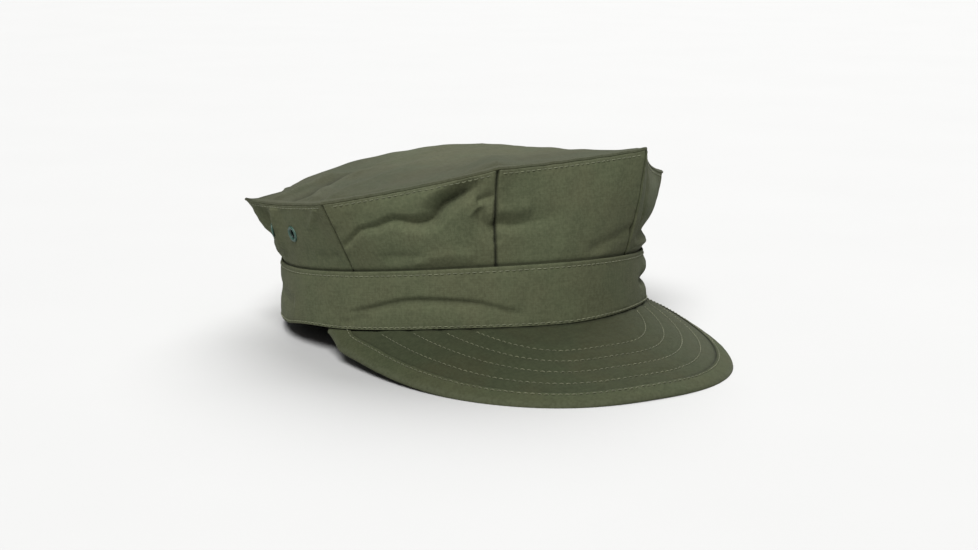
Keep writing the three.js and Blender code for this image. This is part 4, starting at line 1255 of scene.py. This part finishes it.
# %% Stitches of the visor
def outside_band(x, y, clearance):
    across = (np.abs(x) / (BAND_HALF_WIDTH + clearance)) ** BAND_ROUNDNESS
    along = (np.abs(y) / (BAND_HALF_LENGTH + clearance)) ** BAND_ROUNDNESS
    return across + along > 1


def visor_row(inset, under):
    turns = edge_turn(np.linspace(-1, 1, 1201))
    x, y = edge_plan(turns, inset)
    keep = outside_band(x, y, 0.5) & (y < -BAND_HALF_LENGTH * 0.25)
    x, y = x[keep], y[keep]
    on_row = np.abs(inset_from_edge(x, y) - inset) < 0.6
    x, y = x[on_row], y[on_row]
    face = lambda a, b: visor_face(a, b, under)
    return (*cloth_row(face, x, y, step=0.3), under)


def binding_row(under):
    shares = np.linspace(-0.985, 0.985, 900)
    outer = (BOARD_THINNED_HALF + BINDING_CLOTH) * (-1 if under else 1)
    face = lambda turn, inset: binding_face(turn, inset, outer + 0 * turn)
    points, normals = cloth_row(face, edge_turn(shares), BINDING_STITCH_ROW + 0 * shares)
    upward = normals[:, 2] > 0
    return points, np.where(upward[:, None], normals, -normals), under


visor_rows = [visor_row(inset, under) for inset in VISOR_STITCH_ROWS for under in (False, True)]
stitch_piece("visor_stitches", visor_rows, "visor_cloth", visor_thread)
binding_rows = [binding_row(False), binding_row(True)]
stitch_piece("binding_stitches", binding_rows, "binding_cloth", visor_thread)

# %% Stitches of the band
def band_row(from_top=None, from_foot=None):
    turns = np.linspace(0, 2 * np.pi, 1801)
    height = band_high(turns) - band_low(turns, 0.0)
    rise = 1 - from_top / height if from_top is not None else from_foot / height
    points, normals = cloth_row(band_face, turns, rise)
    inward = (normals[:, :2] * points[:, :2]).sum(-1) < 0
    return points, np.where(inward[:, None], -normals, normals), False


band_rows = [band_row(from_top=BAND_TOP_ROW), band_row(from_foot=BAND_FOOT_ROW)]
stitch_piece("band_stitches", band_rows, "band_cloth", seam_thread)

# %% Stitches of the crown
def panel_row(index, parts, ups):
    points, normals = cloth_row(lambda a, b: panel_face(index, a, b), parts, ups)
    inward = (normals[:, :2] * points[:, :2]).sum(-1) < 0
    return points, np.where(inward[:, None], -normals, normals), False


crown_rows = []
for index in range(8):
    along = np.linspace(0.035, 0.965, 160)
    crown_rows.append(panel_row(index, along, 1 - EDGE_STITCH_ROW / PANEL_RISE + 0 * along))
stitch_piece("crown_stitches", crown_rows, "crown_cloth", seam_thread)

# %% [markdown]
# ## Eyelets
# Two pairs of rolled metal rings let air through the side panels. Each is a lathe shape: a barrel
# through the cloth with a rounded lip outside and a smaller one inside, in dark green enamel.

# %% Eyelets
EYELET_COLUMNS = ("name", "across", "up")
EYELETS = [
    dict(zip(EYELET_COLUMNS, row))
    for row in (
        ("eyelet_right_front", 2.46, 0.53),
        ("eyelet_right_back", 2.70, 0.57),
        ("eyelet_left_front", 6.54, 0.53),
        ("eyelet_left_back", 6.30, 0.57),
    )
]
BORE, BARREL, FLANGE, INNER_FLANGE, LIP = 2.0, 2.3, 3.8, 3.4, 0.65


def enamel_material():
    n = Nodes("green_enamel")
    solid = n.add("ShaderNodeTexCoord").outputs["Object"]
    cloud = n.noise(solid, (300.0, 300.0, 300.0))
    edge = n.add("ShaderNodeNewGeometry").outputs["Pointiness"]
    paint = n.blend(cloud, colour((0.014, 0.052, 0.036)), colour((0.028, 0.078, 0.056)))
    # wear: the enamel is paler on the crests of its rims
    wear_and_painted_light = n.math("MULTIPLY", n.ramp(edge, 0.53, 0.62, 0.0, 0.7), n.ramp(cloud, 0.4, 0.6, 0.2, 1.0))
    bright = n.blend(wear_and_painted_light, paint, colour((0.13, 0.19, 0.16)))
    # painted shade: near black in the bore, where the inside of the cap would be in shade
    painted_shade = n.add("ShaderNodeAttribute", attribute_name="painted_shade").outputs["Fac"]
    n.tree.links.new(n.blend(painted_shade, bright, colour((0.003, 0.012, 0.008))), n.shader.inputs["Base Color"])
    n.tree.links.new(n.ramp(cloud, 0.3, 0.7, 0.42, 0.55), n.shader.inputs["Roughness"])
    dents = n.add("ShaderNodeBump", {"Height": cloud, "Strength": 0.2, "Distance": 0.0002})
    n.tree.links.new(dents.outputs[0], n.shader.inputs["Normal"])
    n.shader.inputs["Coat Weight"].default_value = 0.15
    n.shader.inputs["Coat Roughness"].default_value = 0.35
    return n.material


green_enamel = enamel_material()
print("enamel:", green_enamel.name)

# %% Build the eyelets
EYELET_SIDES = 36


def eyelet_profile():
    """Radius and height over the cloth, once round the ring's section."""
    bends = np.linspace(0, math.pi, 9)
    width = FLANGE - BARREL
    lip = [(BARREL + width * (0.5 + 0.5 * math.cos(a)), 0.12 + LIP * math.sin(a)) for a in bends]
    throat = [(BORE + 0.12, 0.1), (BORE, -0.3), (BORE, -CROWN_WALL - 0.1)]
    inside = [
        (BORE + 0.3, -CROWN_WALL - 0.5),
        (INNER_FLANGE - 0.3, -CROWN_WALL - 0.5),
        (INNER_FLANGE, -CROWN_WALL - 0.3),
        (BARREL + 0.1, -CROWN_WALL - 0.25),
    ]
    return np.array([*lip, *throat, *inside, (BARREL + 0.1, -0.1), (FLANGE - 0.2, -0.1)])


def build_eyelet(eyelet, material):
    index = int(eyelet["across"])
    part, up = np.array([eyelet["across"] - index]), np.array([eyelet["up"]])
    centre, out = cloth_row(lambda a, b: panel_face(index, a, b), part, up, step=0.03)
    centre, out = centre[0], out[0]
    if out[:2] @ centre[:2] < 0:
        out = -out
    sideways = np.cross(out, [0, 0, 1.0])
    sideways /= np.linalg.norm(sideways)
    upright = np.cross(sideways, out)
    profile = eyelet_profile()
    angles = np.arange(EYELET_SIDES) / EYELET_SIDES * 2 * np.pi
    round_ring = np.cos(angles)[:, None] * sideways + np.sin(angles)[:, None] * upright
    points = centre + round_ring[:, None, :] * profile[:, 0, None] + out * profile[:, 1, None]
    count = len(profile)
    a, p = np.meshgrid(np.arange(EYELET_SIDES), np.arange(count), indexing="ij")
    a, p = a.ravel(), p.ravel()
    at = lambda i, j: (i % EYELET_SIDES) * count + j % count
    faces = np.stack([at(a, p), at(a + 1, p), at(a + 1, p + 1), at(a, p + 1)], -1)
    uv = np.stack([np.stack([a, p], -1)] * 4, 1) * 1.0
    piece = mesh_piece(eyelet["name"] + "_ring", to_room(points.reshape(-1, 3)), faces, uv)
    # painted shade fills the bore, and nothing is made paler
    in_bore = np.tile(profile[:, 0] < BARREL - 0.15, EYELET_SIDES)
    wear_and_painted_light_layers(piece, 0 * in_bore, 0.9 * in_bore)
    finish_piece(piece, material, "eyelet_enamel", eyelet["name"])
    return centre, out


eyelet_places = [build_eyelet(eyelet, green_enamel) for eyelet in EYELETS]

# %% Holes under the eyelets
# half the depth and the radius of the cut, in metres
HOLE_DEPTH, HOLE_RADIUS = 0.006, 0.0024


def punch_hole(piece, centre, out):
    """Cuts the cloth away inside the eyelet's barrel."""
    middle = Vector(to_room(centre))
    axis = Vector(tipped(out))
    cut = bmesh.new()
    cut.from_mesh(piece.data)
    inside = []
    for face in cut.faces:
        offset = face.calc_center_median() - middle
        depth = offset.dot(axis)
        if abs(depth) < HOLE_DEPTH and (offset - axis * depth).length < HOLE_RADIUS:
            inside.append(face)
    bmesh.ops.delete(cut, geom=inside, context="FACES")
    cut.to_mesh(piece.data)
    cut.free()
    return len(inside)


for eyelet, (centre, out) in zip(EYELETS, eyelet_places):
    cloth = PIECES[PANELS[int(eyelet["across"])]["name"] + "_cloth"]
    print(eyelet["name"], "opens", punch_hole(cloth, centre, out), "faces of", cloth.name)

# %% [markdown]
# ## Table, light and camera
# The cap was photographed under broad, even light on white. A pale matt floor, two broad distant
# lights and an even sky give that, with soft shadows that show where the cap stands. One light is
# in front at the wearer's right, the other behind at the wearer's left. The camera has the place,
# the roll and the focal length that make the drawn outlines fall on the photographed ones.

# %% Floor
def floor_material():
    n = Nodes("pale_floor")
    solid = n.add("ShaderNodeTexCoord").outputs["Object"]
    cloud = n.noise(solid, (6.0, 6.0, 6.0))
    pale = n.blend(cloud, (0.46, 0.46, 0.456, 1.0), (0.48, 0.48, 0.476, 1.0))
    n.tree.links.new(pale, n.shader.inputs["Base Color"])
    n.shader.inputs["Roughness"].default_value = 0.9
    return n.material


def build_floor(half=12.0):
    mesh = bpy.data.meshes.new("floor")
    corners = [(-half, -half, 0), (half, -half, 0), (half, half, 0), (-half, half, 0)]
    mesh.from_pydata(corners, [], [(0, 1, 2, 3)])
    floor = bpy.data.objects.new("floor", mesh)
    bpy.context.collection.objects.link(floor)
    mesh.materials.append(floor_material())
    return floor


floor = build_floor()
print("floor at z =", floor.location.z)

# %% Lights
def soft_sun(name, azimuth, elevation, softness, power):
    """A broad distant light. Azimuth 0 comes from the visor's side and 90 from the wearer's left."""
    turn, rise = math.radians(azimuth), math.radians(elevation)
    towards = Vector((math.sin(turn) * math.cos(rise), -math.cos(turn) * math.cos(rise), math.sin(rise)))
    light = bpy.data.lights.new(name, "SUN")
    light.energy, light.angle = power, math.radians(softness)
    lamp = bpy.data.objects.new(name, light)
    bpy.context.collection.objects.link(lamp)
    lamp.rotation_euler = towards.to_track_quat("Z", "Y").to_euler()
    lamp.location = towards
    return lamp


LIGHT_COLUMNS = ("name", "azimuth", "elevation", "softness", "power")
LIGHTS = (
    ("key", -41, 53, 32, 3.9),
    ("far side", 140, 48, 50, 3.3),
)
for row in LIGHTS:
    soft_sun(**dict(zip(LIGHT_COLUMNS, row)))

SKY_STRENGTH = 0.15
world = bpy.data.worlds.new("studio")
world.use_nodes = True
sky = world.node_tree.nodes["Background"]
sky.inputs["Color"].default_value = (1.0, 1.0, 1.0, 1.0)
sky.inputs["Strength"].default_value = SKY_STRENGTH
bpy.context.scene.world = world
bpy.context.scene.view_settings.view_transform = "Standard"
print(len(LIGHTS), "soft lights and an even sky")

# %% Camera
AZIMUTH, ELEVATION, ROLL = math.radians(-30.3402), math.radians(7.1691), math.radians(-2.2616)
DISTANCE, FOCAL_PIXELS, PHOTO_WIDTH = 852.2647, 1738.7341, 978
AIM_RIGHT, AIM_UP = 13.3833, 13.9578
SENSOR_WIDTH = 36.0


def place_camera():
    level = math.cos(ELEVATION)
    back = np.array([math.sin(AZIMUTH) * level, -math.cos(AZIMUTH) * level, math.sin(ELEVATION)])
    right = np.array([math.cos(AZIMUTH), math.sin(AZIMUTH), 0.0])
    up = np.cross(back, right)
    aim = right * AIM_RIGHT + up * AIM_UP
    rolled_right = right * math.cos(ROLL) + up * math.sin(ROLL)
    rolled_up = up * math.cos(ROLL) - right * math.sin(ROLL)
    camera = bpy.data.objects.new("camera", bpy.data.cameras.new("camera"))
    bpy.context.collection.objects.link(camera)
    camera.data.sensor_fit, camera.data.sensor_width = "HORIZONTAL", SENSOR_WIDTH
    camera.data.lens = FOCAL_PIXELS * SENSOR_WIDTH / PHOTO_WIDTH
    place = Matrix.Identity(4)
    for column, axis in enumerate((rolled_right, rolled_up, back)):
        place.col[column][:3] = tipped(axis)
    place.col[3][:3] = (tipped(aim + back * DISTANCE) + np.array([0.0, FORWARD, -TABLE])) / 1000
    camera.matrix_world = place
    return camera


camera = place_camera()
bpy.context.scene.camera = camera
print("camera at", [round(v, 3) for v in camera.location], "lens", round(camera.data.lens, 1))
